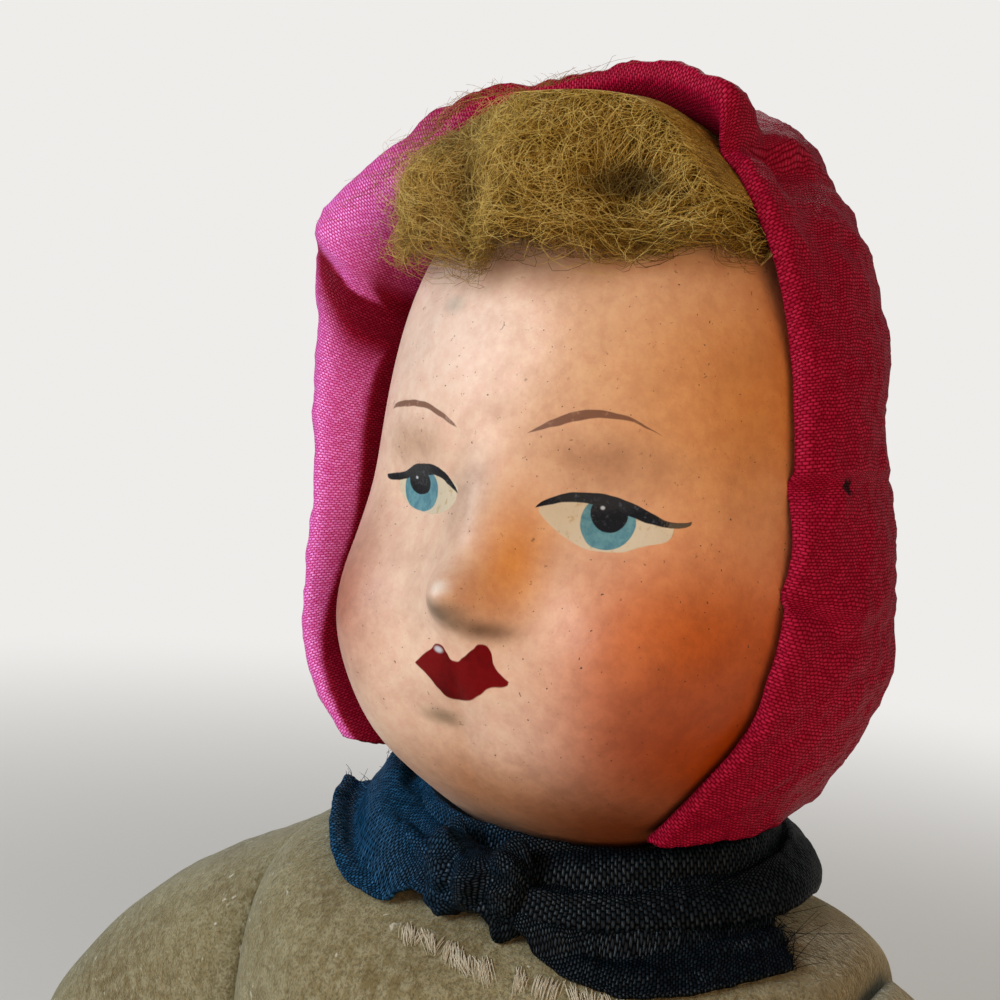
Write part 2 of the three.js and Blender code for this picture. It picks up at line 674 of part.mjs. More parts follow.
function splitPin(joint, axis, nearWall, farWall) {
  const headFace = nearDisc(nearWall) - SEAM_GAP;
  const prongFace = farDisc(farWall) + DISC_CARD + SEAM_GAP;
  const headBase = headFace - PIN_HEAD_THICKNESS;
  const shaft = roundBar(joint, axis, PIN_RADIUS, headBase, prongFace + PRONG_THICKNESS, PIN_SIDES);
  const head = roundBar(joint, axis, PIN_HEAD_RADIUS, headBase, headFace, PIN_SIDES);
  const prong = new THREE.Shape();
  prong.moveTo(0, 0);
  prong.lineTo(PRONG_REACH, 0);
  prong.lineTo(PRONG_REACH + PRONG_THICKNESS, PRONG_CURL + PRONG_THICKNESS);
  prong.lineTo(PRONG_REACH, PRONG_CURL + PRONG_THICKNESS);
  prong.lineTo(PRONG_REACH - PRONG_THICKNESS / 2, PRONG_THICKNESS);
  prong.lineTo(0, PRONG_THICKNESS);
  const prongs = [0, Math.PI].map((swing) => {
    const geometry = new THREE.ExtrudeGeometry(prong, { depth: PRONG_WIDTH, bevelEnabled: false });
    geometry.translate(0, prongFace, -PRONG_WIDTH / 2);
    return solidOf(alongAxis(geometry.rotateY(swing), joint, axis));
  });
  return prongs.reduce((pin, part) => pin.add(part), shaft.add(head));
}

// Ribbon scarf, laid on the shoulders round the neck
function scarfBand(grow = 0) {
  const slope = radians(SCARF_SLOPE);
  const rings = span(SCARF_STEPS).slice(1).map((part) => {
    const around = part * turn;
    const outward = corner(Math.cos(around), Math.sin(around), 0);
    const middle = corner(0, neckJoint.y, 0).addScaledVector(outward, SCARF_RADIUS);
    middle.z = shoulderTop(middle.x, middle.y) + SCARF_HALF_THICKNESS;
    const across = outward.clone().multiplyScalar(Math.cos(slope)).add(corner(0, 0, -Math.sin(slope)));
    const upward = outward.clone().multiplyScalar(Math.sin(slope)).add(corner(0, 0, Math.cos(slope)));
    return span(SCARF_SECTION).slice(1).map((step) => {
      const angle = step * turn;
      const fold = SCARF_FOLD_DEPTH * Math.cos(SCARF_FOLDS * angle + Math.sin(2 * around));
      const thick = SCARF_HALF_THICKNESS + fold + grow;
      return middle.clone()
        .addScaledVector(across, (SCARF_HALF_WIDTH + grow) * Math.cos(angle))
        .addScaledVector(upward, thick * Math.sin(angle));
    });
  });
  return onShoulders(solidOf(skinOver(rings, true)), grow);
}

// Space that the chin and the hood's hem sweep as the head turns on the neck
function headSweep(gap) {
  const hem = eyeHeight - HOOD_HEM_BELOW_EYES;
  const lip = maskEdge(-Math.PI / 2);
  const under = [1, 0.9, 0.8, 0.7].map((part) => headPoint(lip * part, -Math.PI / 2));
  const profile = under.map((point) => [neckJoint.y - point.y, Math.min(point.z, hem) - gap]);
  const [lipReach, lipHeight] = profile[0];
  const inner = [[0, lipHeight], [lipReach - gap, lipHeight]];
  const outer = [[FAR, hem - gap], [FAR, FAR], [0, FAR]];
  const outline = [...inner, ...profile.slice(1), ...outer];
  const geometry = new THREE.LatheGeometry(outline.map(([x, y]) => new THREE.Vector2(x, y)), SCARF_STEPS);
  const upright = geometry.rotateX(Math.PI / 2).translate(0, neckJoint.y, 0);
  return solidOf(facingOut(mergeVertices(bareOf(upright), 1e-4)));
}

// A scarf piece clear of the shoulders below it and of the turning head above it
function onShoulders(solid, grow) {
  return solid.subtract(torsoBag(grow - SEAM_GAP)).subtract(headSweep(CHIN_CLEARANCE - grow));
}

const knotMiddle = (() => {
  const y = neckJoint.y - SCARF_RADIUS - KNOT_HALF.deep;
  return corner(0, y, shoulderTop(0, y) + KNOT_HALF.tall);
})();

function scarfKnot(grow = 0) {
  const rings = span(8).slice(1, -1).map((part) => {
    const polar = part * Math.PI;
    return span(SCARF_SECTION).slice(1).map((step) => {
      const ridge = KNOT_RIDGE_DEPTH * Math.cos(KNOT_RIDGES * step * turn) * Math.sin(polar);
      return knotMiddle.clone().add(corner(
        (KNOT_HALF.across + grow) * Math.cos(polar),
        (KNOT_HALF.deep + ridge + grow) * Math.sin(polar) * Math.cos(step * turn),
        (KNOT_HALF.tall + ridge + grow) * Math.sin(polar) * Math.sin(step * turn),
      ));
    });
  });
  return onShoulders(solidOf(skinOver(rings)), grow).subtract(scarfBand(SEAM_GAP + grow));
}

// Height of the uppermost ribbon or shoulder under a scarf tail
function tailRest(x, y) {
  const outward = (Math.hypot(x, y - neckJoint.y) - SCARF_RADIUS) / Math.cos(radians(SCARF_SLOPE));
  const share = Math.min(1, Math.abs(outward / SCARF_HALF_WIDTH));
  const middle = shoulderTop(x, y) + SCARF_HALF_THICKNESS;
  const swell = (SCARF_HALF_THICKNESS + SCARF_FOLD_DEPTH) * Math.sqrt(1 - share * share);
  return middle + swell - outward * Math.sin(radians(SCARF_SLOPE)) * (share < 1 ? 1 : 0);
}

function scarfTail({ from, to, reach, end, half, rise }) {
  const across = [-1, -0.5, 0, 0.5, 1];
  const rings = span(9).map((part) => {
    const around = radians(THREE.MathUtils.lerp(from, to, part));
    const outward = corner(Math.cos(around), Math.sin(around), 0);
    const radius = THREE.MathUtils.lerp(reach, end, part);
    const edge = (side, lift) => {
      const place = corner(0, neckJoint.y, 0).addScaledVector(outward, radius + side * half);
      const wave = SCARF_FOLD_DEPTH * Math.cos(SCARF_FOLDS * side * 2 + 4 * part);
      place.z = tailRest(place.x, place.y) + wave + lift + rise * part * part;
      return place;
    };
    const upper = across.map((side) => edge(side, TAIL_THICKNESS));
    const lower = across.map((side) => edge(-side, -TAIL_THICKNESS));
    return [...upper, ...lower];
  });
  return onShoulders(solidOf(skinOver(rings)), 0)
    .subtract(scarfBand(SEAM_GAP))
    .subtract(scarfKnot(SEAM_GAP));
}

// Materials
const finish = (color, roughness, metalness = 0) => () => (
  new THREE.MeshStandardMaterial({ color, roughness, metalness })
);
const paintedMask = finish(0xd9a27c, 0.5);
const calico = finish(0xe4dccb, 0.9);
const sateen = finish(0x9c1f4a, 0.55);
const mohair = finish(0x7d6a38, 0.95);
const velveteen = finish(0xa1957a, 0.95);
const ribbon = finish(0x1f3a55, 0.6);
const kapok = finish(0xd8ccb0, 1);
const card = finish(0x9a8460, 0.9);
const steel = finish(0x9a9a98, 0.4, 1);

// Assembly: each moving part is a group that stands at its joint
const doll = new THREE.Group();
const groupAt = (place) => {
  const group = new THREE.Group();
  group.position.copy(place);
  doll.add(group);
  return group;
};
const body = groupAt(corner(0, 0, 0));
const head = groupAt(neckJoint);

function mirrored(geometry) {
  const copy = geometry.clone();
  copy.scale(-1, 1, 1);
  copy.setIndex(Array.from(copy.index.array).reverse());
  return copy;
}

function place(name, geometry, material, group) {
  const { x, y, z } = group.position;
  const mesh = new THREE.Mesh(geometry.translate(-x, -y, -z), material());
  mesh.name = name;
  group.add(mesh);
}

const put = (name, solid, material, group) => place(name, geometryOf(solid), material, group);

const shoulderPocket = (wall) => discPocket(shoulderJoint, 'x', SHOULDER_DISC_RADIUS, wall);
const hipPocket = (wall) => discPocket(hipJoint, 'x', HIP_DISC_RADIUS, wall);
function pinHole(joint, axis) {
  const reach = farDisc(VELVETEEN);
  return roundBar(joint, axis, PIN_RADIUS + PIN_CLEARANCE, -reach, reach);
}

const mirror = (solid) => solidOf(mirrored(geometryOf(solid)));
const bothSides = (solid) => solid.add(mirror(solid));

function torsoSkin() {
  const holes = bothSides(pinHole(shoulderJoint, 'x').add(pinHole(hipJoint, 'x')));
  const shell = torsoBag(0).subtract(torsoBag(VELVETEEN));
  return shell.subtract(holes).subtract(pinHole(neckJoint, 'z'));
}

function torsoStuffing() {
  const shoulders = carrierPocket(shoulderJoint, 'x', SHOULDER_DISC_RADIUS, VELVETEEN);
  const hips = carrierPocket(hipJoint, 'x', HIP_DISC_RADIUS, VELVETEEN);
  const neck = carrierPocket(neckJoint, 'z', NECK_RADIUS, neckWall);
  return torsoBag(VELVETEEN + SEAM_GAP).subtract(bothSides(shoulders.add(hips))).subtract(neck);
}

put('face_mask', faceMask(), paintedMask, head);
put('head_back', headBack(), calico, head);
put('head_stuffing', headStuffing(), kapok, head);
put('mohair_fringe', fringePad(), mohair, head);
put('hood', hoodShell(), sateen, head);
put('neck_disc_upper', jointDisc(neckJoint, 'z', NECK_DISC_RADIUS, CALICO + SEAM_GAP), card, head);

put('torso_skin', torsoSkin(), velveteen, body);
put('torso_stuffing', torsoStuffing(), kapok, body);
put('neck_disc_lower', jointDisc(neckJoint, 'z', NECK_DISC_RADIUS, nearDisc(neckWall)), card, body);
put('neck_pin', splitPin(neckJoint, 'z', neckWall, CALICO - SEAM_GAP), steel, body);
put('scarf_band', scarfBand(), ribbon, body);
put('scarf_knot', scarfKnot(), ribbon, body);
put('scarf_tail_left', scarfTail(LEFT_TAIL), ribbon, body);
put('scarf_tail_right', scarfTail(RIGHT_TAIL), ribbon, body);

// Limbs are shaped on the doll's left side, and the right side mirrors them
const coverOf = (form, joint) => form(0).subtract(form(VELVETEEN)).subtract(pinHole(joint, 'x'));
const limbPieces = [
  ['shoulder', shoulderJoint, SHOULDER_DISC_RADIUS, [
    ['arm_skin', () => coverOf(armForm, shoulderJoint), velveteen],
    ['arm_stuffing', () => armForm(VELVETEEN + SEAM_GAP).subtract(shoulderPocket(VELVETEEN)), kapok],
  ]],
  ['hip', hipJoint, HIP_DISC_RADIUS, [
    ['leg_skin', () => coverOf(legForm, hipJoint), velveteen],
    ['leg_stuffing', () => {
      const filling = legForm(VELVETEEN + SEAM_GAP, VELVETEEN + 2 * SEAM_GAP + SOLE_CARD);
      return filling.subtract(hipPocket(VELVETEEN));
    }, kapok],
    ['sole_card', soleCard, card],
  ]],
];

for (const [jointName, joint, radius, pieces] of limbPieces) {
  const innerDisc = geometryOf(jointDisc(joint, 'x', radius, nearDisc(VELVETEEN)));
  const outerDisc = geometryOf(jointDisc(joint, 'x', radius, farDisc(VELVETEEN)));
  const pin = geometryOf(splitPin(joint, 'x', VELVETEEN, VELVETEEN));
  const shapes = pieces.map(([name, make, material]) => [name, geometryOf(make()), material]);
  for (const side of ['left', 'right']) {
    const sided = (geometry) => (side === 'left' ? geometry.clone() : mirrored(geometry));
    const across = side === 'left' ? joint.x : -joint.x;
    const limb = groupAt(corner(across, joint.y, joint.z));
    place(`${jointName}_disc_inner_${side}`, sided(innerDisc), card, body);
    place(`${jointName}_pin_${side}`, sided(pin), steel, body);
    place(`${jointName}_disc_outer_${side}`, sided(outerDisc), card, limb);
    shapes.forEach(([name, shape, material]) => place(`${name}_${side}`, sided(shape), material, limb));
  }
}

export default doll;
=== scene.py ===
# %% [markdown]
# # A seated cloth doll with a moulded face
# The doll is a stuffed velveteen body with a pressed, painted mask for a face, a sateen hood,
# a mohair fringe and a ribbon scarf. The engineering model gives each piece its place and its
# moving body. This lesson builds the looks on top of it, one piece at a time.

# %% Load the fixed frame
import bpy
import math
import numpy as np
from functools import partial
from mathutils import Matrix, Vector, noise


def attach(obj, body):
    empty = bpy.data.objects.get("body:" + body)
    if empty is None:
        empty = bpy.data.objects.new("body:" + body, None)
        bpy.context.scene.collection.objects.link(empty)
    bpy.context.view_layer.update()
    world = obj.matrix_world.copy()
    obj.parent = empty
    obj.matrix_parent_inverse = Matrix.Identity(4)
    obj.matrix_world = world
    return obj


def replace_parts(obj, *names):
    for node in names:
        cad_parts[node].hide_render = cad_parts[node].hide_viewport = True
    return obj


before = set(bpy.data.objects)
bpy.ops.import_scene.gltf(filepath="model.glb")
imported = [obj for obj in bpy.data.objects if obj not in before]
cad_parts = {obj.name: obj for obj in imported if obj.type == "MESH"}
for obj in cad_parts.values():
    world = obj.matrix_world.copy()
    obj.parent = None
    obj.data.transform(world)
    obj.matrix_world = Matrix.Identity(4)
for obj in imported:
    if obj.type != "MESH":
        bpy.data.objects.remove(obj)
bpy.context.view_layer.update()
MM = 0.001

# %% [markdown]
# ## Camera
# The picture is a close three-quarter view from the doll's left, a little above its eyes, with
# the head leaning to the right. A camera can be aimed by hand or set by three turns. The turns
# are clearer here, because the last of them, about the line of sight, is the lean.

# %% Place the camera
YAW, DIP, LEAN = 33, 5, 5
bpy.ops.object.camera_add()
camera = bpy.context.object
camera.name = "camera"
camera.matrix_world = Matrix.Translation((0.0717, -0.1326, 0.1834))
for angle, axis in ((YAW, "Z"), (90 - DIP, "X"), (LEAN, "Z")):
    camera.matrix_world = camera.matrix_world @ Matrix.Rotation(math.radians(angle), 4, axis)
camera.data.lens = 46.8
camera.data.sensor_width = 36
camera.data.clip_start = 0.01
bpy.context.scene.camera = camera
print("camera at", [round(c, 4) for c in camera.matrix_world.translation])

# %% [markdown]
# ## Tools for the lesson
# Most operators act on the selected object, so one helper selects a single object and another
# adds a modifier and applies it. Materials are wired from nodes. Short functions add a node to
# the tree of the sockets that they are given, and each kind of sum has a name of its own.

# %% Helpers for objects
def begin(name, make, **how):
    bpy.ops.object.select_all(action="DESELECT")
    make(**how)
    bpy.context.object.name = name
    return bpy.context.object


def new_sphere(name, segments, rings):
    return begin(name, bpy.ops.mesh.primitive_uv_sphere_add, segments=segments, ring_count=rings, radius=1)


def new_grid(name, columns, rows):
    return begin(name, bpy.ops.mesh.primitive_grid_add, x_subdivisions=columns, y_subdivisions=rows, size=2)


def pick(piece):
    bpy.ops.object.select_all(action="DESELECT")
    piece.select_set(True)
    bpy.context.view_layer.objects.active = piece
    return piece


def finish_with(piece, kind, **settings):
    pick(piece)
    modifier = piece.modifiers.new(kind.title(), kind)
    for key, value in settings.items():
        setattr(modifier, key, value)
    bpy.ops.object.modifier_apply(modifier=modifier.name)


def smooth(piece):
    pick(piece)
    bpy.ops.object.shade_smooth()
    return piece


def corners(piece):
    places = np.empty(len(piece.data.vertices) * 3)
    piece.data.vertices.foreach_get("co", places)
    return places.reshape(-1, 3)


def move_corners(piece, places):
    piece.data.vertices.foreach_set("co", np.asarray(places, np.float32).ravel())
    piece.data.update()


def in_edit_mode(piece, *steps):
    pick(piece)
    bpy.ops.object.mode_set(mode="EDIT")
    bpy.ops.mesh.select_all(action="SELECT")
    for step in steps:
        step()
    bpy.ops.object.mode_set(mode="OBJECT")


def weld(distance):
    return lambda: bpy.ops.mesh.remove_doubles(threshold=distance)


def face_out():
    bpy.ops.mesh.normals_make_consistent(inside=False)


def cut_below(height, lean=0):
    return lambda: bpy.ops.mesh.bisect(plane_co=(0, 0, height), plane_no=(lean, 0, 1), clear_inner=True)


def thicken(piece, thickness, factor=0.5, rounds=2):
    finish_with(piece, "SMOOTH", factor=factor, iterations=rounds)
    finish_with(piece, "SOLIDIFY", thickness=thickness * MM, offset=0)
    smooth(piece)


def dress(piece, finish):
    piece.data.materials.clear()
    piece.data.materials.append(finish.material)


def mark(piece, name, values):
    layer = piece.data.attributes.new(name, "FLOAT", "POINT")
    layer.data.foreach_set("value", values.astype(np.float32))


def scale_map(piece, wide, tall):
    for loop in piece.data.uv_layers.active.data:
        loop.uv = (loop.uv[0] * wide, loop.uv[1] * tall)


def point_on(line, share, shares):
    return np.stack([np.interp(share, shares, column) for column in line.T], -1)


def unit(vectors):
    return vectors / np.linalg.norm(vectors, axis=1)[:, None]


# %% Helpers for finishes
def dye(red, green, blue):
    linear = [c / 255 / 12.92 if c < 11 else ((c / 255 + 0.055) / 1.055) ** 2.4 for c in (red, green, blue)]
    return (*linear, 1)


def feed(socket, value):
    if isinstance(value, bpy.types.NodeSocket):
        socket.id_data.links.new(value, socket)
    else:
        socket.default_value = value


def add_node(kind, inputs, tree=None, **settings):
    tree = tree or next(value.id_data for value in inputs.values() if isinstance(value, bpy.types.NodeSocket))
    made = tree.nodes.new("ShaderNode" + kind)
    for key, value in settings.items():
        setattr(made, key, value)
    for key, value in inputs.items():
        feed(made.inputs[key], value)
    return made.outputs


def compute(operation, *values):
    return add_node("Math", dict(enumerate(values)), operation=operation)[0]


def sums(names):
    return (partial(compute, name) for name in names.split())


plus, minus, times, times_plus, divide, most = sums("ADD SUBTRACT MULTIPLY MULTIPLY_ADD DIVIDE MAXIMUM")
to_power, square_root, absolute, round_down, fraction = sums("POWER SQRT ABSOLUTE FLOOR FRACT")


def split(vector):
    return add_node("SeparateXYZ", {0: vector})


def step(value, low, high, to_low=0, to_high=1):
    inputs = {"Value": value, "From Min": low, "From Max": high, "To Min": to_low, "To Max": to_high}
    return add_node("MapRange", inputs, interpolation_type="SMOOTHSTEP")[0]


def mix(share, under, over, blend="MIX"):
    under, over = (dye(*tone) if isinstance(tone, tuple) else tone for tone in (under, over))
    return add_node("Mix", {0: share, 6: under, 7: over}, data_type="RGBA", blend_type=blend)[2]


class Finish:
    def __init__(self, name):
        self.material = bpy.data.materials.new(name)
        self.material.use_nodes = True
        self.tree = self.material.node_tree
        self.shader = self.tree.nodes["Principled BSDF"]
        self.places = self.add("TexCoord")
        self.at = self.places["Object"]

    def add(self, kind, inputs=None, **settings):
        return add_node(kind, inputs or {}, self.tree, **settings)

    def speckle(self, scale, detail=2, rough=0.5, vector=None):
        vector = self.at if vector is None else vector
        return self.add("TexNoise", {"Vector": vector, "Scale": scale, "Detail": detail, "Roughness": rough})[0]

    def bump(self, height, depth, strength):
        made = self.add("Bump", {"Height": height, "Distance": depth, "Strength": strength})
        feed(self.shader.inputs["Normal"], made[0])

    def set(self, **values):
        for key, value in values.items():
            feed(self.shader.inputs[key.replace("_", " ")], value)


print("helpers ready")

# %% [markdown]
# ## Stage and light
# A pale floor and a pale world give a plain studio. Far from the doll the floor takes the world's
# colour where the camera looks at it, so that no horizon shows, and near the doll it keeps its
# shadow. The main light is a large cool panel to the left of the camera, as from a window, and a
# weaker warm panel on the right opens the shade, as a lamp in the room does. A third, weak panel
# lights the back.

# %% Floor
BACKDROP = (0.86, 0.845, 0.825, 1)
floor = begin("floor", bpy.ops.mesh.primitive_plane_add, size=8)
tiles = Finish("pale_floor")
floor_tone = mix(tiles.speckle(6), (226, 222, 216), (232, 229, 224))
tiles.set(Base_Color=floor_tone, Roughness=0.85)
from_doll = tiles.add("VectorMath", {0: tiles.at}, operation="LENGTH")["Value"]
looking = tiles.add("LightPath")["Is Camera Ray"]
far = times(step(from_doll, 0.25, 0.75), looking)
plain_ground = tiles.add("Emission", {"Color": BACKDROP})[0]
faded_floor = tiles.add("MixShader", {0: far, 1: tiles.shader.outputs[0], 2: plain_ground})[0]
feed(tiles.tree.nodes["Material Output"].inputs["Surface"], faded_floor)
dress(floor, tiles)

# %% World and lamps
LIT = Vector((0, 0, 0.16))
world = bpy.data.worlds.new("studio")
bpy.context.scene.world = world
world.use_nodes = True
rays = add_node("LightPath", {}, world.node_tree)
seen = most(rays["Is Camera Ray"], rays["Is Transmission Ray"])
sky = world.node_tree.nodes["Background"].inputs
feed(sky["Strength"], add_node("MapRange", {"Value": seen, "To Min": 0.24, "To Max": 1})[0])
feed(sky["Color"], BACKDROP)


def panel(name, place, size, power, colour):
    lamp = begin(name, bpy.ops.object.light_add, type="AREA", location=place)
    lamp.data.shape, lamp.data.size = "DISK", size
    lamp.data.energy, lamp.data.color = power, colour
    lamp.rotation_mode = "QUATERNION"
    lamp.rotation_quaternion = (LIT - Vector(place)).to_track_quat("-Z", "Y")


panel("window_panel", (-0.38, -0.54, 0.45), 0.4, 4.2, (0.88, 0.95, 1))
panel("shade_panel", (0.52, -0.42, 0.22), 0.5, 1.7, (1, 0.6, 0.28))
panel("back_panel", (-0.3, 0.5, 0.6), 0.5, 0.8, (1, 0.98, 0.96))
bpy.context.scene.view_settings.view_transform = "Standard"
print("stage: floor, world and three panels")

# %% [markdown]
# ## Face
# The real face is a mask, pressed over a mould, painted, and sewn into the head. It could be
# sculpted, but a mould is a smooth hill with a few smaller hills on it: nose, cheeks, jowls,
# muzzle and chin. So a sphere is cut to a bowl whose pole is the middle of the face, and each
# of its corners is set where the mould would put it. Each hill has a place across and up the
# face, two spreads and a height, in millimetres. The eyes lie in a hill below nought.

# %% The mould
EYE_HEIGHT = 172
FACE_WIDTH, CROWN, CHIN_DROP, FACE_DEPTH, BACK_DEPTH = 27, 42.5, 40.5, 25.6, 28
MASK_ANGLE, MASK_WALL = 80, 1.4
HILLS = [
    (0, -9.2, 3.7, 3.3, 5.3), (0, -3, 5.2, 6.5, 1.7), (11.5, -1, 7, 4.6, -2),
    (0, -16.5, 8, 7, 3.5), (18, -14, 8.5, 8.5, 4.3), (14, -26, 10, 10, 5.4), (0, -29, 8, 6.5, 2.5),
]


def hill(offset, spread):
    return np.exp(-((offset / spread) ** 2))


def ease(value, low, high):
    share = np.clip((value - low) / (high - low), 0, 1)
    return share * share * (3 - 2 * share)


def squared(around):
    wide = (np.abs(np.cos(around)) ** 2.5 + np.abs(np.sin(around)) ** 2.5) ** -0.4
    return np.where(np.sin(around) > 0, wide, 1)


def on_head(polar, around, inset=0):
    reach, rise = np.sin(polar) * squared(around), np.sin(around)
    height = (np.where(rise > 0, CROWN, CHIN_DROP) - inset) * reach * rise - 2
    jowl = 1 + 0.13 * hill(height + 18.5, 12.5)
    across = (FACE_WIDTH - inset) * reach * np.cos(around) * (1 - 0.03 * reach * rise) * jowl
    deep = (np.where(polar < np.pi / 2, FACE_DEPTH, BACK_DEPTH) - inset) * np.cos(polar)
    stand = sum(h * hill(np.abs(across) - a, w) * hill(height - z, t) for a, z, w, t, h in HILLS)
    fade = 1 - ease(np.degrees(polar), 72, 95)
    return np.stack([across, -deep - fade * stand, EYE_HEIGHT + height], axis=-1)


def mask_edge(around):
    from_chin = np.abs((around + np.pi / 2 + np.pi) % (2 * np.pi) - np.pi)
    return np.radians(MASK_ANGLE - 8 * hill(np.degrees(from_chin), 25))


def head_angles(piece):
    x, y, z = corners(piece).T
    return np.arccos(np.clip(z, -1, 1)), np.arctan2(y, x)


print("nose tip at", on_head(np.array(0.28), np.array(-np.pi / 2)).round(1))

# %% The mask
face = new_sphere("painted_face", 168, 180)
cut = math.cos(math.radians(MASK_ANGLE))
in_edit_mode(face, cut_below(cut))
polar, around = head_angles(face)
polar = polar * mask_edge(around) / math.radians(MASK_ANGLE)
places = on_head(polar, around)
dents = np.array([noise.noise(Vector(p) * 0.11) for p in places])
places[:, 1] += 0.22 * dents * (1 - ease(polar, 1.1, 1.4))
move_corners(face, places * MM)
finish_with(face, "SOLIDIFY", thickness=MASK_WALL * MM, offset=-1)
smooth(face)
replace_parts(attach(face, "head"), "face_mask")
print("mask:", len(face.data.polygons), "faces")

# %% [markdown]
# ## Face paint
# The features are painted by hand in gloss colours over an airbrushed peach ground. A picture
# file isn't used, so each painted shape is the space between an upper and a lower curve, read
# across the face. A curve node holds the few points of each line. A little noise in the
# reading place gives the brush a hand's wobble.

# %% Lines of the painted features
LEFT_LASH = (
    [(5.7, -0.1), (7.1, 1.1), (9.3, 1.8), (11.6, 1.85), (13.8, 1.4), (16.1, 0.4), (18.3, -0.2), (19.4, 0.05)],
    [(5.7, -0.1), (7.1, 0.4), (9.3, 0.8), (11.5, 0.6), (13.9, 0), (16.7, -0.7), (18, -0.8), (19.4, 0.05)],
)
LEFT_WHITE = (
    [(6, -0.4), (9.3, 1.2), (13.8, 0.7), (18.1, -0.7)],
    [(6, -0.4), (7.3, -1.8), (8.9, -2.8), (10.9, -3.6), (12.8, -3.7), (16.6, -2.5), (17.6, -2.2), (18.1, -0.7)],
)
RIGHT_LASH = (
    [(-16.9, 0.75), (-13.3, 1.4), (-11.1, 2.3), (-8.3, 2.7), (-6, 2.4), (-3.8, 1.5), (-2.4, 0.4)],
    [(-16.9, 0.75), (-15.8, 0.2), (-13.3, 0.6), (-10, 1.4), (-6.4, 1.6), (-4.4, 1), (-2.4, 0.4)],
)
RIGHT_WHITE = (
    [(-14.4, 0.4), (-11.1, 1.7), (-6.4, 1.9), (-2.5, 0.4)],
    [(-14.4, 0.4), (-13.3, -1.2), (-11.1, -2.2), (-8, -2.4), (-5.2, -2), (-3.2, -1.1), (-2.5, 0.4)],
)
LEFT_BROW = (
    [(4.1, 7.1), (6.6, 8.6), (8.8, 9.6), (11, 9.9), (12.8, 9.7), (14.5, 9), (16.4, 7.9)],
    [(4.1, 7.1), (6.7, 7.9), (9, 8.7), (11.1, 9.15), (12.8, 9.2), (14.6, 8.7), (16.4, 7.9)],
)
RIGHT_BROW = (
    [(-16.6, 7.9), (-14.3, 8.9), (-10.9, 9.1), (-8.1, 8.7), (-5.6, 7.7), (-4.2, 6.8)],
    [(-16.6, 7.9), (-12.9, 8.35), (-9.8, 8.4), (-7.1, 7.8), (-5, 7), (-4.2, 6.8)],
)
LIPS = (
    [(-5.3, -17.3), (-3, -15.4), (-1.8, -14.6), (-0.8, -15.3), (0, -16), (1, -15.5), (2.2, -14.4),
     (3.1, -13.8), (3.9, -14.3), (4.3, -15.5), (5.2, -16.5), (6.1, -17.1)],
    [(-5.3, -17.3), (-3.3, -18.4), (-2.2, -19.5), (-1.1, -20.2), (0.7, -20.1), (2.7, -19.2), (4.2, -18),
     (5.5, -17.7), (6.1, -17.1)],
)
IRISES = [(12.2, -0.95, 2.6, 2.65), (-9.7, -0.1, 3.5, 2.4)]
PUPILS = [(12.2, -0.05, 1.75, 1.85), (-10.2, 0.65, 2.2, 1.5)]
GLINTS = [(11.6, 0.5, 0.3, 0.26), (-10.9, 1, 0.34, 0.22), (-1.9, -15.2, 0.85, 0.5)]

# %% Ground colour, blush, and painted light and shade
paint = Finish("face_paint")
wobble = paint.add("TexNoise", {"Vector": paint.at, "Scale": 420, "Detail": 1.5})["Color"]
centred = paint.add("VectorMath", {0: wobble, 1: (0.5, 0.5, 0.5)}, operation="SUBTRACT")[0]
sway = {0: centred, 1: (0.00032, 0, 0.00032), 2: paint.at}
nudged = paint.add("VectorMath", sway, operation="MULTIPLY_ADD")[0]


def across_and_up(vector):
    x, _, z = split(vector)
    return times(x, 1000), times_plus(z, 1000, -EYE_HEIGHT)


sprayed = across_and_up(paint.at)
brushed = paint_x, paint_z = across_and_up(nudged)


def spot(x, z, wide, tall, hard=0, at=sprayed):
    side = divide(minus(at[0], x), wide)
    rise = divide(minus(at[1], z), tall)
    return step(square_root(times_plus(side, side, times(rise, rise))), 1, hard)


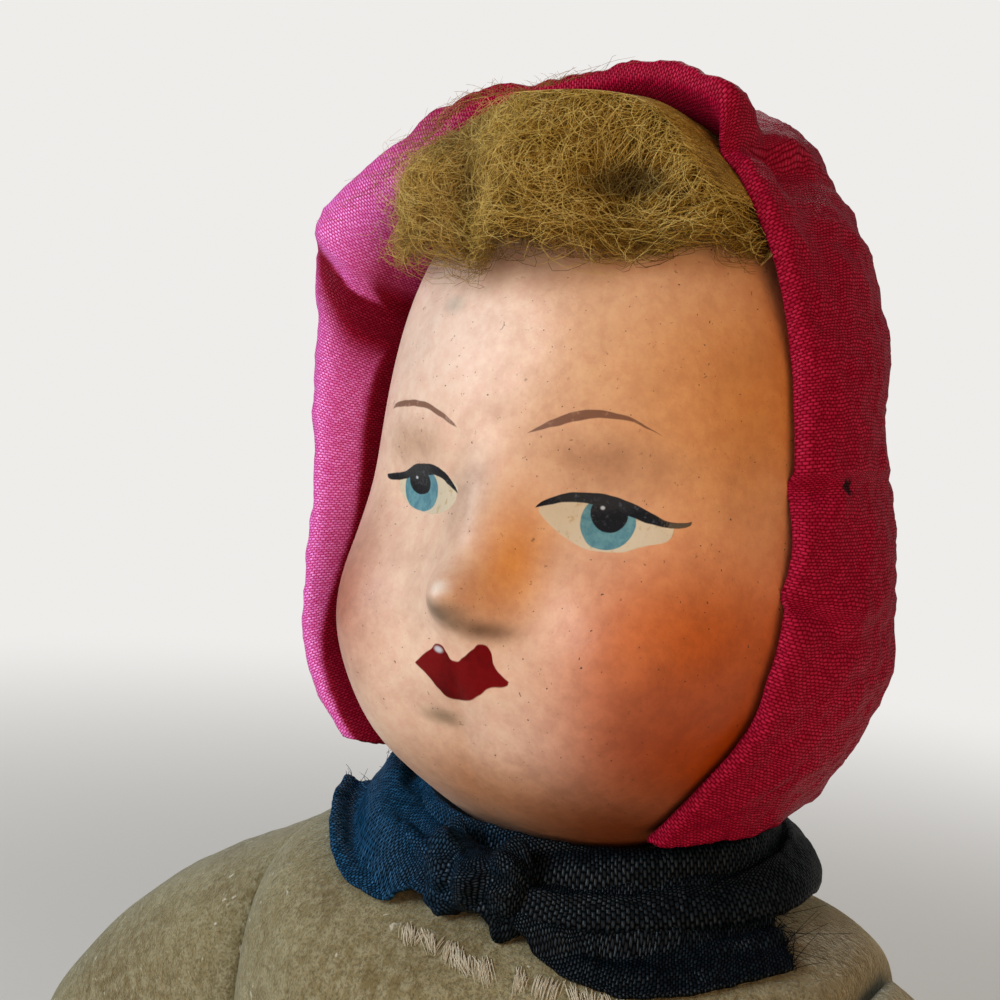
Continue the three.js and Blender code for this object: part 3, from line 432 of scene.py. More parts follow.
# Some of these patches are painted light and shade. The broad warm patch over the doll's left forehead, the temple
# patch and the amber patch beside the nose are painted warm light and shade on the doll's left side of the face. The
# two dark orange patches along the doll's left jaw and the brown chin patch are painted shade. The orange cheek on the
# doll's left is blush deepened with painted warm shade. The pale patch on the doll's right forehead is painted light.
# The dark patch under the nose is a painted shadow. The pale spot on the nose and the pale band beside the mouth are
# painted highlights. The pink cheek, the brown eye shadows and the grey smudges on the nose, under the lip and on the
# forehead are paint and dirt.
BLUSH_DIRT_AND_PAINTED_LIGHT = [
    ((14, 14, 26, 40, 0), (214, 156, 104), 0.75), ((22, -11, 18, 17, 0), (210, 100, 16), 0.95),
    ((23, 12, 14, 26, 0), (212, 134, 58), 0.85), ((24, -24, 23, 20, 0.1), (164, 66, 6), 1),
    ((13, -34, 21, 12, 0.1), (118, 54, 10), 0.95), ((-10, 17, 18, 16, 0), (232, 204, 188), 0.75),
    ((4.7, -5.6, 5.4, 10, 0), (214, 134, 52), 0.9), ((-19, -13, 12, 16, 0), (172, 102, 82), 0.95),
    ((12.5, 5, 9.5, 4.2, 0), (176, 126, 92), 0.75), ((-11, 4.6, 8, 3.8, 0), (190, 152, 126), 0.75),
    ((0, -30, 15, 9, 0), (176, 118, 76), 0.75), ((-2.6, -22.6, 4, 1.6, 0), (138, 116, 90), 0.8),
    ((-8.5, 19.4, 2.6, 1.6, 0), (164, 154, 140), 0.6), ((-1.5, 0, 4.5, 8, 0), (178, 150, 132), 0.75),
    ((-0.2, -10.8, 3.6, 2.3, 0.1), (116, 98, 82), 0.8), ((3.4, -12.4, 4.6, 1.8, 0), (96, 66, 42), 0.8),
    ((0.2, -8.4, 1.6, 1.2, 0), (238, 226, 214), 0.85), ((5.4, -20, 3.4, 7.5, 0), (226, 188, 164), 0.6),
]
ground = (226, 190, 166)
for place, colour, share in BLUSH_DIRT_AND_PAINTED_LIGHT:
    ground = mix(times(spot(*place), share), ground, colour)
print("ground with", len(BLUSH_DIRT_AND_PAINTED_LIGHT), "patches of blush, dirt and painted light")


# %% Wear in the ground
mottle = paint.speckle(190, 4, 0.6)
ground = mix(step(mottle, 0.35, 0.75, 0, 0.2), ground, (150, 96, 62), "MULTIPLY")
crackle = paint.speckle(640, 4, 0.7)
ground = mix(0.4, ground, step(crackle, 0.3, 0.7, 0.36, 0.62), "OVERLAY")
grime = paint.speckle(1300, 3, 0.65)
ground = mix(step(grime, 0.66, 0.74, 0, 0.55), ground, (96, 66, 44))
chips = paint.speckle(2300, 1, 0.5)
ground = mix(step(chips, 0.75, 0.79, 0, 0.85), ground, (58, 44, 34))


# %% Brush the features on
def line(points):
    left, right = points[0][0], points[-1][0]
    low, high = min(z for _, z in points) - 0.1, max(z for _, z in points) + 0.1
    share = divide(minus(paint_x, left), right - left)
    height = paint.add("FloatCurve", {"Value": share})[0]
    mapping = height.node.mapping
    curve = mapping.curves[0]
    spots = [((x - left) / (right - left), (z - low) / (high - low)) for x, z in points]
    curve.points[0].location, curve.points[-1].location = spots[0], spots[-1]
    for place in spots[1:-1]:
        curve.points.new(*place)
    mapping.update()
    return times_plus(height, high - low, low)


def between(upper, lower, soft=0.07):
    below = step(minus(line(upper), paint_z), -soft, soft)
    above = step(minus(paint_z, line(lower)), -soft, soft)
    after = step(minus(paint_x, upper[0][0]), 0, 2 * soft)
    before = step(minus(upper[-1][0], paint_x), 0, 2 * soft)
    return times(times(below, above), times(after, before))


def either(*shapes):
    return most(*(between(*shape) for shape in shapes))


colour = ground
brows = either(LEFT_BROW, RIGHT_BROW)
thin = paint.speckle(900, 3, 0.7)
brow_share = times(brows, step(thin, 0.25, 0.5, 0.55, 0.92))
colour = mix(brow_share, colour, (112, 72, 54))
whites = either(LEFT_WHITE, RIGHT_WHITE)
cream = mix(step(grime, 0.55, 0.75), (208, 192, 166), (188, 160, 120))
colour = mix(whites, colour, cream)
iris = times(most(*[spot(*place, 0.95, brushed) for place in IRISES]), whites)
teal = mix(step(thin, 0.35, 0.65), (78, 126, 140), (102, 148, 156))
colour = mix(iris, colour, teal)
pupil = most(*[spot(*place, 0.93, brushed) for place in PUPILS])
black = most(pupil, either(LEFT_LASH, RIGHT_LASH))
dry = step(paint.speckle(1700, 3, 0.7), 0.55, 0.72, 0, 0.5)
colour = mix(black, colour, mix(dry, (22, 23, 28), (84, 88, 98)))
lips = between(*LIPS, soft=0.1)
red = mix(step(mottle, 0.4, 0.65), (112, 2, 6), (84, 1, 3))
colour = mix(lips, colour, red)
# Painted highlights: a glint on each pupil and one on the upper lip.
glint_spots = [spot(*place, 0.3, brushed) for place in GLINTS]
glints = most(most(*glint_spots[:2]), glint_spots[2])
colour = mix(times(glints, 0.75), colour, (206, 212, 220))

# %% Gloss and skin of the paint
glossy = most(whites, black)
rough = times_plus(glossy, -0.3, step(mottle, 0.3, 0.7, 0.36, 0.48))
skin = times_plus(chips, -0.5, paint.speckle(700, 3, 0.6))
coat = times_plus(most(glossy, lips), 0.8, skin)
shine = times_plus(lips, -0.22, times_plus(glossy, 0.08, 0.3))
paint.bump(coat, 0.00006, 0.7)
paint.set(Base_Color=colour, Roughness=rough, Specular_IOR_Level=shine)
dress(face, paint)
print("face paint:", len(paint.tree.nodes), "nodes")

# %% [markdown]
# ## Back of the head
# Behind the mask the head is a stuffed calico bag. Its front fills the mask and its back is nearly
# all under the hood. So a whole sphere takes the shape of the head, and goes a little deeper where
# the mask covers it.

# %% Calico bag
head_bag = new_sphere("calico_head", 72, 60)
polar, around = head_angles(head_bag)
rim = mask_edge(around)
low = ease(146 - on_head(polar, around)[:, 2], 0, 5) * ease(polar, rim, rim + 0.1)
places = on_head(polar, around, 2 - 1.9 * ease(polar, rim - 0.05, rim + 0.02) + 1.8 * low)
places[:, 2] = np.maximum(places[:, 2], 135.2)
move_corners(head_bag, places * MM)
smooth(head_bag)
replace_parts(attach(head_bag, "head"), "head_back", "head_stuffing")

# %% Calico
calico = Finish("calico")
warp = calico.add("TexWave", {"Vector": calico.at, "Scale": 620, "Distortion": 1})[1]
weft = calico.add("TexWave", {"Vector": calico.at, "Scale": 620}, bands_direction="Z")[1]
calico_tone = mix(calico.speckle(300), (228, 218, 198), (206, 192, 166))
calico.bump(plus(warp, weft), 0.00008, 0.6)
calico.set(Base_Color=calico_tone, Roughness=0.9, Sheen_Weight=0.2)
dress(head_bag, calico)
print("calico bag:", len(head_bag.data.polygons), "faces")

# %% [markdown]
# ## Hood
# The hood is one piece of sateen, eased over the head, with its front edge turned in and its
# neck edge held by the scarf. On the doll's right the turned edge stands out from the face as
# a soft roll with one deep crease, and on the left it lies close to the mask. It could be draped
# by a simulation, but its creases and corners are where a hand put them. So a flat grid is bent
# over the head by a rule: each column follows a soft curve from inside the roll, round the front
# edge, and over the crown. Behind the neck the two ends meet. A row of the edge's table gives an
# angle round the face, how far the edge stands ahead of the mask and off it, the roll's width
# and how far it is rolled in. A row of tucks gives an angle, a width, a depth, a slant and a
# reach backwards. A width below nought turns the steep side of the tuck the other way, and a
# depth below nought makes a puff.

# %% Shape of the front edge
EDGES = [
    (-90, 5, -0.6, 1.6, 0), (-60, 5.4, -1.2, 1.4, 0), (-40, 6.8, -1.8, 1.4, 0), (-20, 7.2, -2.2, 1.4, 0),
    (0, 4.3, -0.8, 1.4, 0), (25, 3.8, -1, 1.4, 0), (45, 7.4, 0.8, 1.8, 0), (62, 8, 3.4, 2, 0),
    (76, 6.4, 3.7, 2.2, 0), (92, 4.8, 3.3, 2, 0), (105, 4.6, 2.7, 2.2, 0), (118, 5.4, 4.4, 3.2, 0),
    (130, 6.8, 3.8, 5.6, 0), (140, 8.2, 4.2, 8, 0.2), (149, 9.2, 6, 10, 0.5), (153, 7.6, 7.2, 8.8, 0.9),
    (160, 6.6, 6, 6.6, 1), (172, 6.2, 4.4, 5.2, 1), (182, 6.2, 2.4, 4.8, 1), (195, 6.2, 1.2, 4.6, 1),
    (210, 6.2, 2.6, 4.6, 1), (225, 6, 0.6, 4.2, 1), (240, 5.6, -2, 4, 1),
]
TUCKS = [
    (154.5, 7, 6.5, -0.7, 6), (8.5, -3, 1.8, 0, 60), (-7, 2.6, 1.5, -0.9, 60),
    (57, -6.5, 3.2, -0.3, 60), (59, 10, -1.7, -0.3, 60),
]


def edge_at(around):
    table = np.transpose(EDGES)
    return [np.interp(np.degrees(around), table[0], column) for column in table[1:]]


def tuck_at(around, back):
    total = np.zeros_like(around)
    for place, wide, depth, slant, reach in TUCKS:
        past = (np.degrees(around) - place - slant * back) / wide
        total += depth * hill(back, reach) * np.where(past > 0, np.exp(-np.abs(past)), hill(past, 0.25))
    return total


# %% Bend the sheet over the head
CAP_STEPS, HEM_HEIGHT, SATEEN = 11, 139.1, 0.6
HEAD_MIDDLE = np.array([0, 2, EYE_HEIGHT - 4])


def crumple(places, scale, seed):
    return np.array([noise.fractal(Vector(p) * scale + Vector((seed, 0, 0)), 0.6, 2, 3) for p in places])


def crumple_all_ways(places, scale, seeds):
    return np.stack([crumple(places, scale, seed) for seed in seeds], -1)


def soft_curve(points, share):
    points = np.stack([2 * points[0] - points[1], *points[1:-1], 2 * points[-1] - points[-2]])
    place = np.clip(share, 0, 1) * (len(points) - 2)
    first = np.minimum(place.astype(int), len(points) - 3)
    part = (place - first)[:, None]
    column = np.arange(points.shape[1])
    before, middle, after = (points[first + step, column] for step in range(3))
    return 0.5 * (1 - part) ** 2 * before + (0.5 + part - part**2) * middle + 0.5 * part**2 * after


def cap_point(around, over):
    degrees = np.degrees(around)
    fold = 0.6 * np.cos(9 * around + 2 * over) + 0.35 * np.cos(17 * around - 3 * over)
    boxy = 1.2 * hill(degrees - 45, 20) + 6 * hill(degrees - 65, 11) + 2.3 * hill(degrees - 130, 20)
    rise = np.sin(np.pi * over)
    gap = 3.2 - 1.6 * over + rise * (1.8 + fold + 1.6 * ease(-degrees, 10, 40)) + boxy * rise**2
    gap = gap - 0.8 * tuck_at(around, 7 + 50 * over) * (1 - ease(over, 0.05, 0.35))
    closed = around + math.radians(30) * ease(over, 0.15, 0.6) * ease(degrees, 150, 240)
    return on_head(np.full_like(around, math.radians(MASK_ANGLE + (180 - MASK_ANGLE) * over)), closed, -gap)


def hood_point(around, along):
    ahead, off, wide, roll = edge_at(around)
    root = on_head(np.full_like(around, math.radians(78)), around, -0.7)
    push = np.stack([np.cos(around), 0 * around, np.sin(around)], -1)

    def at(forward, out, back, share):
        tuck = share * tuck_at(around, back)
        return root + push * (out - tuck)[:, None] - np.stack([0 * forward, forward - 0.6 * tuck, 0 * forward], -1)

    points = [
        at(0 * ahead - 4, 0 * ahead + 0.2, 0, 0),
        at(0.35 * (1 - roll) * ahead, 0.15 + (0.5 - 0.3 * roll) * off, 0, 0.3),
        at((1 - 0.35 * roll) * ahead, (1 - 0.25 * roll) * off, 0, 0.6),
        at((1 + 0.12 * roll) * ahead, off + 0.5 * wide, 0.5 * wide, 1),
        at(ahead - (0.15 + 0.2 * roll) * wide, off + wide, wide, 1),
        at(0.45 * ahead, 0.6 * (off + wide) + 1.5, wide + 2, 0.9),
    ]
    return soft_curve(points + [cap_point(around, over) for over in np.linspace(0, 1, CAP_STEPS)], along)


hood = new_grid("sateen_hood", 320, 150)
flat_hood = corners(hood)
along = (flat_hood[:, 1] + 1) / 2
hood_around = np.radians(75 + 165 * flat_hood[:, 0])
places = hood_point(hood_around, along)
print("hood:", places.min(0).round(1), places.max(0).round(1))

# %% Wrinkles and the cloth's own map
puckers = 0.6 * crumple(places * np.array([1, 0.45, 1]), 0.16, 3) + 0.25 * crumple(places, 0.5, 9)
places = places + unit(places - HEAD_MIDDLE) * puckers[:, None] * ease(along, 0.05, 0.3)[:, None]
move_corners(hood, places * MM)


def lay_map(piece, flat, places, row):
    order = np.lexsort((flat[:, 0], flat[:, 1]))
    wide, tall = len(np.unique(flat[:, 0].round(5))), len(np.unique(flat[:, 1].round(5)))
    net = places[order].reshape(tall, wide, 3)
    up = np.cumsum(np.linalg.norm(np.diff(net, axis=0, prepend=net[:1]), axis=2), axis=0)
    across = np.cumsum(np.linalg.norm(np.diff(net[row], axis=0, prepend=net[row][:1]), axis=1))
    cloth_map = np.empty((len(flat), 2))
    cloth_map[order] = np.stack([np.broadcast_to(across, (tall, wide)), up], -1).reshape(-1, 2)
    corner = np.empty(len(piece.data.loops), int)
    piece.data.loops.foreach_get("vertex_index", corner)
    piece.data.uv_layers.active.data.foreach_set("uv", cloth_map[corner].ravel())
    return cloth_map.max(0)


print("hood laid flat:", lay_map(hood, flat_hood, places, 30).round(1), "mm")
shade_end = np.interp(np.degrees(hood_around), [188, 205, 222], [0.092, 0.138, 0.165])
in_roll = edge_at(hood_around)[3] * (1 - ease(along - shade_end, -0.025, 0.015))
in_tuck = np.clip(tuck_at(hood_around, np.maximum(0, 57 * (along - 0.13))) / 4.8, 0, 1) ** 1.4
# The fold mark shows where the sateen is painted dark crimson: painted shade inside the roll and the tucks.
mark(hood, "fold", np.maximum(in_roll, in_tuck))

# %% Hem and thickness
in_edit_mode(hood, cut_below(HEM_HEIGHT * MM, 0.05))
in_edit_mode(hood, weld(1e-5), face_out)
print("hood cloth:", round(sum(face.area for face in hood.data.polygons) * 1e6), "square mm")
thicken(hood, SATEEN, 0.4, 1)
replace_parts(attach(hood, "head"), "hood")
print("hood:", len(hood.data.polygons), "faces")

# %% [markdown]
# ## Sateen
# Sateen shows long floats: each thread lies on top for a few crossings, and the next thread
# does the same one step later, which draws slanting lines. The weave is worked out from the
# cloth's own flat map, in millimetres, so that it bends with every fold. The outside on the
# doll's right, the side that the window panel lights, is painted pink as painted light, and the
# inside of the roll and of each tuck is painted dark crimson as painted shade.


# %% Weave helper
def float_weave(finish, pitch, floats, slant):
    x, y, _ = split(finish.places["UV"])
    wander = finish.speckle(0.5, 1, vector=finish.places["UV"])
    across = divide(times_plus(wander, 0.5, x), pitch)
    column = round_down(across)
    shifted = times_plus(column, slant, divide(y, pitch * floats))

    def bulge(place, sharp):
        off = absolute(minus(fraction(place), 0.5))
        return minus(1, to_power(times(off, 2), sharp))

    each = finish.add("CombineXYZ", {0: column, 1: round_down(shifted)})[0]
    uneven = finish.add("TexWhiteNoise", {"Vector": each})["Value"]
    raised = times(bulge(across, 2), bulge(shifted, 3))
    return times(raised, step(uneven, 0, 1, 0.6, 1.1))


# %% Sateen finish
sateen = Finish("sateen")
floats = float_weave(sateen, 0.33, 1.7, 0.5)
lit_edge_noise = sateen.speckle(70, 3, 0.6)
x, _, z = split(sateen.at)
crown = most(times_plus(z, 1.5, -0.3), 0)
# Painted light: the sateen is painted pink on the doll's right, the side that the window panel lights, except high on
# the crown.
window_lit_side = step(times_plus(lit_edge_noise, 0.02, plus(x, crown)), 0.022, -0.022)
fold = sateen.add("Attribute", attribute_name="fold")["Fac"]
lit_pink = times(window_lit_side, step(fold, 0.75, 0))
deep = mix(lit_pink, (98, 2, 18), (184, 12, 100))
bright = mix(lit_pink, (192, 28, 70), (255, 138, 236))
# Painted shade: the inside of the roll and of each tuck is painted dark crimson.
deep, bright = (mix(step(fold, 0.3, 1, 0, 0.6), tone, (70, 0, 8)) for tone in (deep, bright))
# The hole is painted near-black crimson: painted shade seen through it.
HOLE = (0.0298, -0.0039, 0.1763)
from_hole = sateen.add("VectorMath", {0: sateen.at, 1: HOLE}, operation="DISTANCE")["Value"]
ragged = times_plus(sateen.speckle(1800, 3), 0.0016, from_hole)
hole = step(ragged, 0.0019, 0.0014)
sateen.bump(floats, 0.00009, 0.8)
sateen.set(
    Base_Color=mix(hole, mix(floats, deep, bright), (36, 4, 8)), Roughness=0.36,
    Specular_IOR_Level=times(floats, times_plus(lit_pink, 0.8, 0.1)),
    Sheen_Weight=0.1, Sheen_Roughness=0.35, Sheen_Tint=mix(lit_pink, (190, 20, 60), (244, 120, 190)),
)
dress(hood, sateen)
print("sateen:", len(sateen.tree.nodes), "nodes")

# %% [markdown]
# ## Mohair fringe
# The hair is a pad of combed mohair, felted in the middle and loose at the edges. Hair
# particles would not leave Blender, so the strands are thin tubes: curves with a small bevel,
# made a mesh at the end. A dark pad lies under them, so that no forehead shows through, and
# it has the hair's rolls and hollows. Its dark tone is painted shade deep in the hair.

# %% Where the hair lies
HAIRLINE = [(-1, 27.4), (-0.75, 25.2), (-0.4, 23.8), (0.1, 24.8), (0.4, 26.4), (0.8, 27.4), (1, 27.8)]
HAIR_WIDE, HAIR_TALL, HAIR_TOP, TURN = 21.5, 14, 39.5, 6.28
LUMPS = [
    (-0.45, 0, 0.16, 0.3, 2.4), (-0.16, 0, 0.07, 0.4, -2.8), (0.06, 0.02, 0.17, 0.3, 2.8),
    (0.45, 0.1, 0.13, 0.13, -4.4), (0.64, -0.02, 0.13, 0.1, -2.8), (0.2, 0.6, 0.3, 0.22, 2.2),
    (0.74, 0.25, 0.12, 0.35, 2.2), (0.3, -0.2, 0.25, 0.12, 1.8), (-0.4, 0.55, 0.2, 0.2, -1.8),
    (0.9, 0.2, 0.06, 0.3, -1.6),
]


def lump_at(side, part):
    return sum(high * hill(side - s, wide) * hill(part - p, tall) for s, p, wide, tall, high in LUMPS)


def hair_thickness(side, part):
    swell = np.interp(part, [0, 0.15, 0.4, 0.65, 0.85, 1], [0.5, 0.85, 1, 0.9, 0.72, 0.5])
    return np.maximum(0.8, 1 + 7.5 * np.sqrt(np.clip(1 - side**2, 0, 1)) * swell + lump_at(side, part))


def hair_point(side, part, height):
    across = HAIR_WIDE * side - 1
    hairline = np.interp(side, *np.transpose(HAIRLINE))
    tall = hairline + part * (HAIR_TOP - hairline) + 2
    around = np.arctan2(tall / CROWN, across / FACE_WIDTH)
    reach = np.hypot(tall / CROWN, across / FACE_WIDTH) / squared(around)
    polar = np.arcsin(np.clip(reach, 0, 0.975))
    room = np.interp(np.degrees(polar), [46, 60, 75], [14, 8, 3]) * (1 - 0.35 * ease(side, 0.35, 0.8))
    return on_head(polar, around, -np.minimum(height, room))


hair_pad = new_sphere("mohair_pad", 128, 80)
ball = corners(hair_pad)
side, part = 0.93 * ball[:, 0], 0.1 + 0.88 * (ball[:, 2] + 1) / 2
height = 0.35 + 0.72 * hair_thickness(side, part) * np.clip(ball[:, 1], 0, 1)
places = hair_point(side, part, height)
move_corners(hair_pad, (places + 0.8 * crumple_all_ways(places, 0.22, (1, 5, 8))) * MM)
smooth(hair_pad)
print("hair pad:", len(hair_pad.data.polygons), "faces")

# %% [markdown]
# Combed mohair falls into locks. Each strand takes its place, direction and wave from the lock
# that it belongs to, with a little of its own, so that locks show as bright ridges with dark
# gaps. More than half of the locks curl tightly. At the hairline the strands turn aside instead
# of ending on a line, and on the doll's right a few wisps lie over the edge of the hood.

# %% Comb the strands
dice = np.random.default_rng(7)
LOCKS, STEPS = 190, 16


def even(low, high, count=LOCKS):
    return dice.uniform(low, high, count)


def bell(spread, count=LOCKS):
    return dice.normal(0, spread, count)


lock_side, lock_part = even(-0.96, 0.99), even(0.02, 1)
lock_angle = np.radians(-90 + 34 * lock_side + bell(55))
curly = even(0, 1) < 0.6
lock_wave = np.where(curly, even(0.7, 1.4), even(0.4, 1))
lock_turns = np.where(curly, even(1.5, 2.8), even(0.7, 1.6))
lock_phase, lock_bend = even(0, TURN), bell(0.16)
lock_lift = even(-1, 1.2)


def strands(count, loose, wild, shallow, lean):
    weight = np.exp(lean * lump_at(lock_side, lock_part))
    lock = dice.choice(LOCKS, count, p=weight / weight.sum())
    side = lock_side[lock] + bell(0.07 * loose, count)
    part = lock_part[lock] + bell(0.1 * loose, count)
    angle = lock_angle[lock] + bell(0.35 * loose, count)
    depth, length = even(shallow, shallow + 0.22, count), even(6, 15, count)
    wave = lock_wave[lock] * even(0.7, 1.3, count)
    phase = lock_phase[lock] + bell(0.8 * loose, count)
    turns = lock_turns[lock] * even(0.8, 1.25, count)
    bend = lock_bend[lock] + bell(0.07 * loose, count)
    low, top, lift = even(-0.3, 0.04, count), even(0.88, 1.07, count), lock_lift[lock]
    rise = even(0, 1, count) * wild
    path = []
    for step in range(STEPS):
        share = step / (STEPS - 1)
        turned = phase + turns * TURN * share
        sway = wave * np.sin(turned)
        edge = np.where(part < low + 0.2, low + 0.2 * np.exp((part - low - 0.2) / 0.2), part)
        across = np.clip(side + sway * np.sin(angle) / HAIR_WIDE, -1.03, 0.99)
        over = np.clip(edge - sway * np.cos(angle) / HAIR_TALL, -0.4, top)
        stand = depth * hair_thickness(np.clip(side, -0.98, 0.98), np.clip(edge, 0, 1)) + 0.6 * lift
        path.append(hair_point(across, over, np.maximum(0.3, stand + 0.7 * wave * np.cos(turned)) + rise * share**1.5))
        angle = angle + bend
        side = side + length / STEPS * np.cos(angle) / HAIR_WIDE
        part = part + length / STEPS * np.sin(angle) / HAIR_TALL
    return np.stack(path, axis=1)


def wisps(count):
    place, drift = even(99, 133, count), bell(8, count)
    low, high = even(0.03, 0.09, count), even(0.1, 0.19, count)
    phase, lift = even(0, TURN, count), even(0.1, 1.2, count)
    path = []
    for share in np.linspace(0, 1, STEPS):
        degrees = place + drift * share + 2 * np.sin(phase + 7 * share)
        spots = hood_point(np.radians(degrees), low + (high - low) * share)
        rise = 0.6 + lift * share**2 + 0.4 * np.sin(2 * phase + 9 * share)
        path.append(spots + unit(spots - HEAD_MIDDLE) * rise[:, None])
    return np.stack(path, axis=1)


def comb(name, paths, thickness):
    lock = begin(name, bpy.ops.curve.primitive_bezier_curve_add)
    lock.data.splines.clear()
    lock.data.bevel_depth = thickness * MM
    lock.data.bevel_resolution = 0
    for path in paths:
        spline = lock.data.splines.new("POLY")
        spline.points.add(len(path) - 1)
        spline.points.foreach_set("co", np.column_stack([path * MM, np.ones(len(path))]).ravel())
        spline.points.foreach_set("radius", np.linspace(1, 0.4, len(path)))
    bpy.ops.object.convert(target="MESH")
    return smooth(bpy.context.object)


# %% [markdown]
# Mohair is dyed unevenly, and each hair is thin enough to glow at its edge. Five tones from
# brown to pale gold go on five sets of strands that lie mixed together, and the wisps are russet.
# The darker sets lie deeper and gather in the hollows, and the paler sets lie higher and gather
# on the rolls, as painted shade and painted light. The strands are also painted darker in the
# hollows, as painted shade, and lighter towards the doll's right end, as painted light.


# %% Mohair finishes
def mohair(name, low, high):
    finish = Finish(name)
    tone = finish.speckle(260, 3, 0.7)
    hairs = mix(step(tone, 0.3, 0.7), low, high)
    # Painted light: the strands are painted lighter towards the doll's right end, the side that the window panel
    # lights.
    hairs = mix(step(split(finish.at)["X"], 0.002, -0.011, 0, 0.26), hairs, (200, 162, 92))
    # Painted shade: the strands are painted darker in the hollows between the rolls.
    roll = finish.add("Attribute", attribute_name="roll")["Fac"]
    hairs = mix(step(roll, 0.3, -3.2, 0, 0.7), hairs, (44, 28, 8))
    finish.set(
        Base_Color=hairs, Roughness=0.5, Specular_IOR_Level=0.22, Sheen_Weight=0.06, Sheen_Tint=dye(236, 216, 140)
    )
    return finish


def mark_shade_in_hollows(lock):
    places = corners(lock) / MM
    side = np.clip((places[:, 0] / 1.18 + 1) / HAIR_WIDE, -1, 1)
    hairline = np.interp(side, *np.transpose(HAIRLINE))
    part = ((places[:, 2] - EYE_HEIGHT + 2) / 1.13 - 2 - hairline) / (HAIR_TOP - hairline)
    mark(lock, "roll", lump_at(side, part) * ease(part, -0.05, 0.12))


# The pad's tone is darker than any strand's: painted shade deep in the hair.
TONES = {
    "pad": ((40, 26, 6), (60, 42, 12)), "brown": ((76, 50, 12), (104, 74, 22)),
    "olive": ((98, 74, 16), (126, 100, 32)), "amber": ((118, 80, 18), (148, 108, 34)),
    "gold": ((148, 112, 30), (182, 146, 54)), "pale": ((196, 166, 78), (222, 196, 116)),
    "russet": ((122, 68, 28), (168, 108, 54)),
}
# Columns: tone, count, looseness, wildness, depth, pull towards the rolls and thickness. The darker sets lie deeper
# and gather in the hollows, and the paler sets lie higher and on the rolls: painted shade and painted light.
SETS = [
    ("brown", 1600, 1, 0, 0.66, -0.25, 0.044), ("olive", 1600, 1, 0, 0.74, 0, 0.044),
    ("amber", 1600, 1.1, 0.3, 0.8, 0.15, 0.04), ("gold", 1600, 1.1, 0.5, 0.84, 0.3, 0.038),
    ("pale", 1200, 1.3, 1.2, 0.88, 0.45, 0.034),
]
hair = [hair_pad] + [comb(f"mohair_{tone}", strands(*how), thick) for tone, *how, thick in SETS]
hair.append(comb("mohair_flyaways", strands(800, 2.6, 6, 0.8, 0), 0.03))
hair.append(comb("mohair_wisps", wisps(320), 0.034))
for lock, tone in zip(hair, ["pad", *(kind[0] for kind in SETS), "pale", "russet"]):
    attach(lock, "head")
    dress(lock, mohair(f"{lock.name}_finish", *TONES[tone]))
    mark_shade_in_hollows(lock)
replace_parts(hair_pad, "mohair_fringe")
print("fringe:", sum(len(lock.data.polygons) for lock in hair), "faces in", len(hair), "pieces")

# %% [markdown]
# ## Stuffed body and limbs
# The body, the arms and the legs are velveteen bags, sewn inside out, turned, and stuffed hard
# with kapok. They could be sculpted, but stuffing is a pressure inside a cloth, and Blender's
# cloth has just that. So the outer face of each bag is taken from the engineering model, remeshed
# to an even net and blown up, while its seams and joint faces are held.

# %% Take the outer face of a bag
SHOULDER_Z, HIP_Z, NECK_Y, JOINT_FACE = 108.6, 21.6, 4, 36
PIN_LINES = [((1, 2), (0, SHOULDER_Z)), ((1, 2), (0, HIP_Z)), ((0, 1), (0, NECK_Y))]


def bag_from(node, name):
    bag = bpy.data.objects.new(name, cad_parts[node].data.copy())
    bpy.context.collection.objects.link(bag)
    in_edit_mode(bag, weld(1e-6))
    places = corners(bag) / MM
    from_pins = [np.hypot(*(places[:, axes] - at).T) for axes, at in PIN_LINES]
    rim = np.min(from_pins, axis=0) < 1.5
    bpy.context.tool_settings.mesh_select_mode = (False, False, True)
    in_edit_mode(bag, lambda: bpy.ops.mesh.select_all(action="DESELECT"))
    for face in bag.data.polygons:
        face.select = all(rim[corner] for corner in face.vertices)
    bpy.ops.object.mode_set(mode="EDIT")
    bpy.ops.mesh.delete(type="FACE")
    bpy.ops.mesh.separate(type="LOOSE")
    bpy.ops.object.mode_set(mode="OBJECT")
    bpy.context.tool_settings.mesh_select_mode = (True, False, False)
    layers = list(bpy.context.selected_objects)
    outer = max(layers, key=lambda layer: layer.dimensions.length)
    for layer in layers:
        if layer != outer:
            bpy.data.objects.remove(layer)
    outer.name = name
    outer.data.materials.clear()
    in_edit_mode(outer, lambda: bpy.ops.mesh.fill_holes(sides=0), face_out)
    return outer


# %% Stuff a bag
def stuff(bag, voxel, swell, held):
    bag.data.remesh_voxel_size = voxel * MM
    pick(bag)
    bpy.ops.object.voxel_remesh()
    finish_with(bag, "SMOOTH", factor=0.5, iterations=14)
    start = corners(bag)
    seams = bag.vertex_groups.new(name="seams")
    seams.add(np.flatnonzero(held(start / MM)).tolist(), 1, "ADD")
    cloth = pick(bag).modifiers.new("Cloth", "CLOTH")
    cloth.settings.mass = 0.002
    cloth.settings.use_pressure = True
    cloth.settings.uniform_pressure_force = 4
    cloth.settings.vertex_group_mass = "seams"
    cloth.settings.effector_weights.gravity = 0
    for moment in range(1, 21):
        bpy.context.scene.frame_set(moment)
    bpy.ops.object.modifier_apply(modifier=cloth.name)
    bpy.context.scene.frame_set(1)
    moved = corners(bag) - start
    reach = np.linalg.norm(moved, axis=1)
    print(bag.name, "swells by", (reach.max() / MM).round(2), "mm, mean", (reach.mean() / MM).round(2))
    move_corners(bag, start + moved * np.minimum(1, swell * MM / np.maximum(reach, 1e-9))[:, None])
    finish_with(bag, "SMOOTH", factor=0.4, iterations=2)
    finish_with(bag, "SUBSURF", levels=1, render_levels=1)
    return smooth(bag)


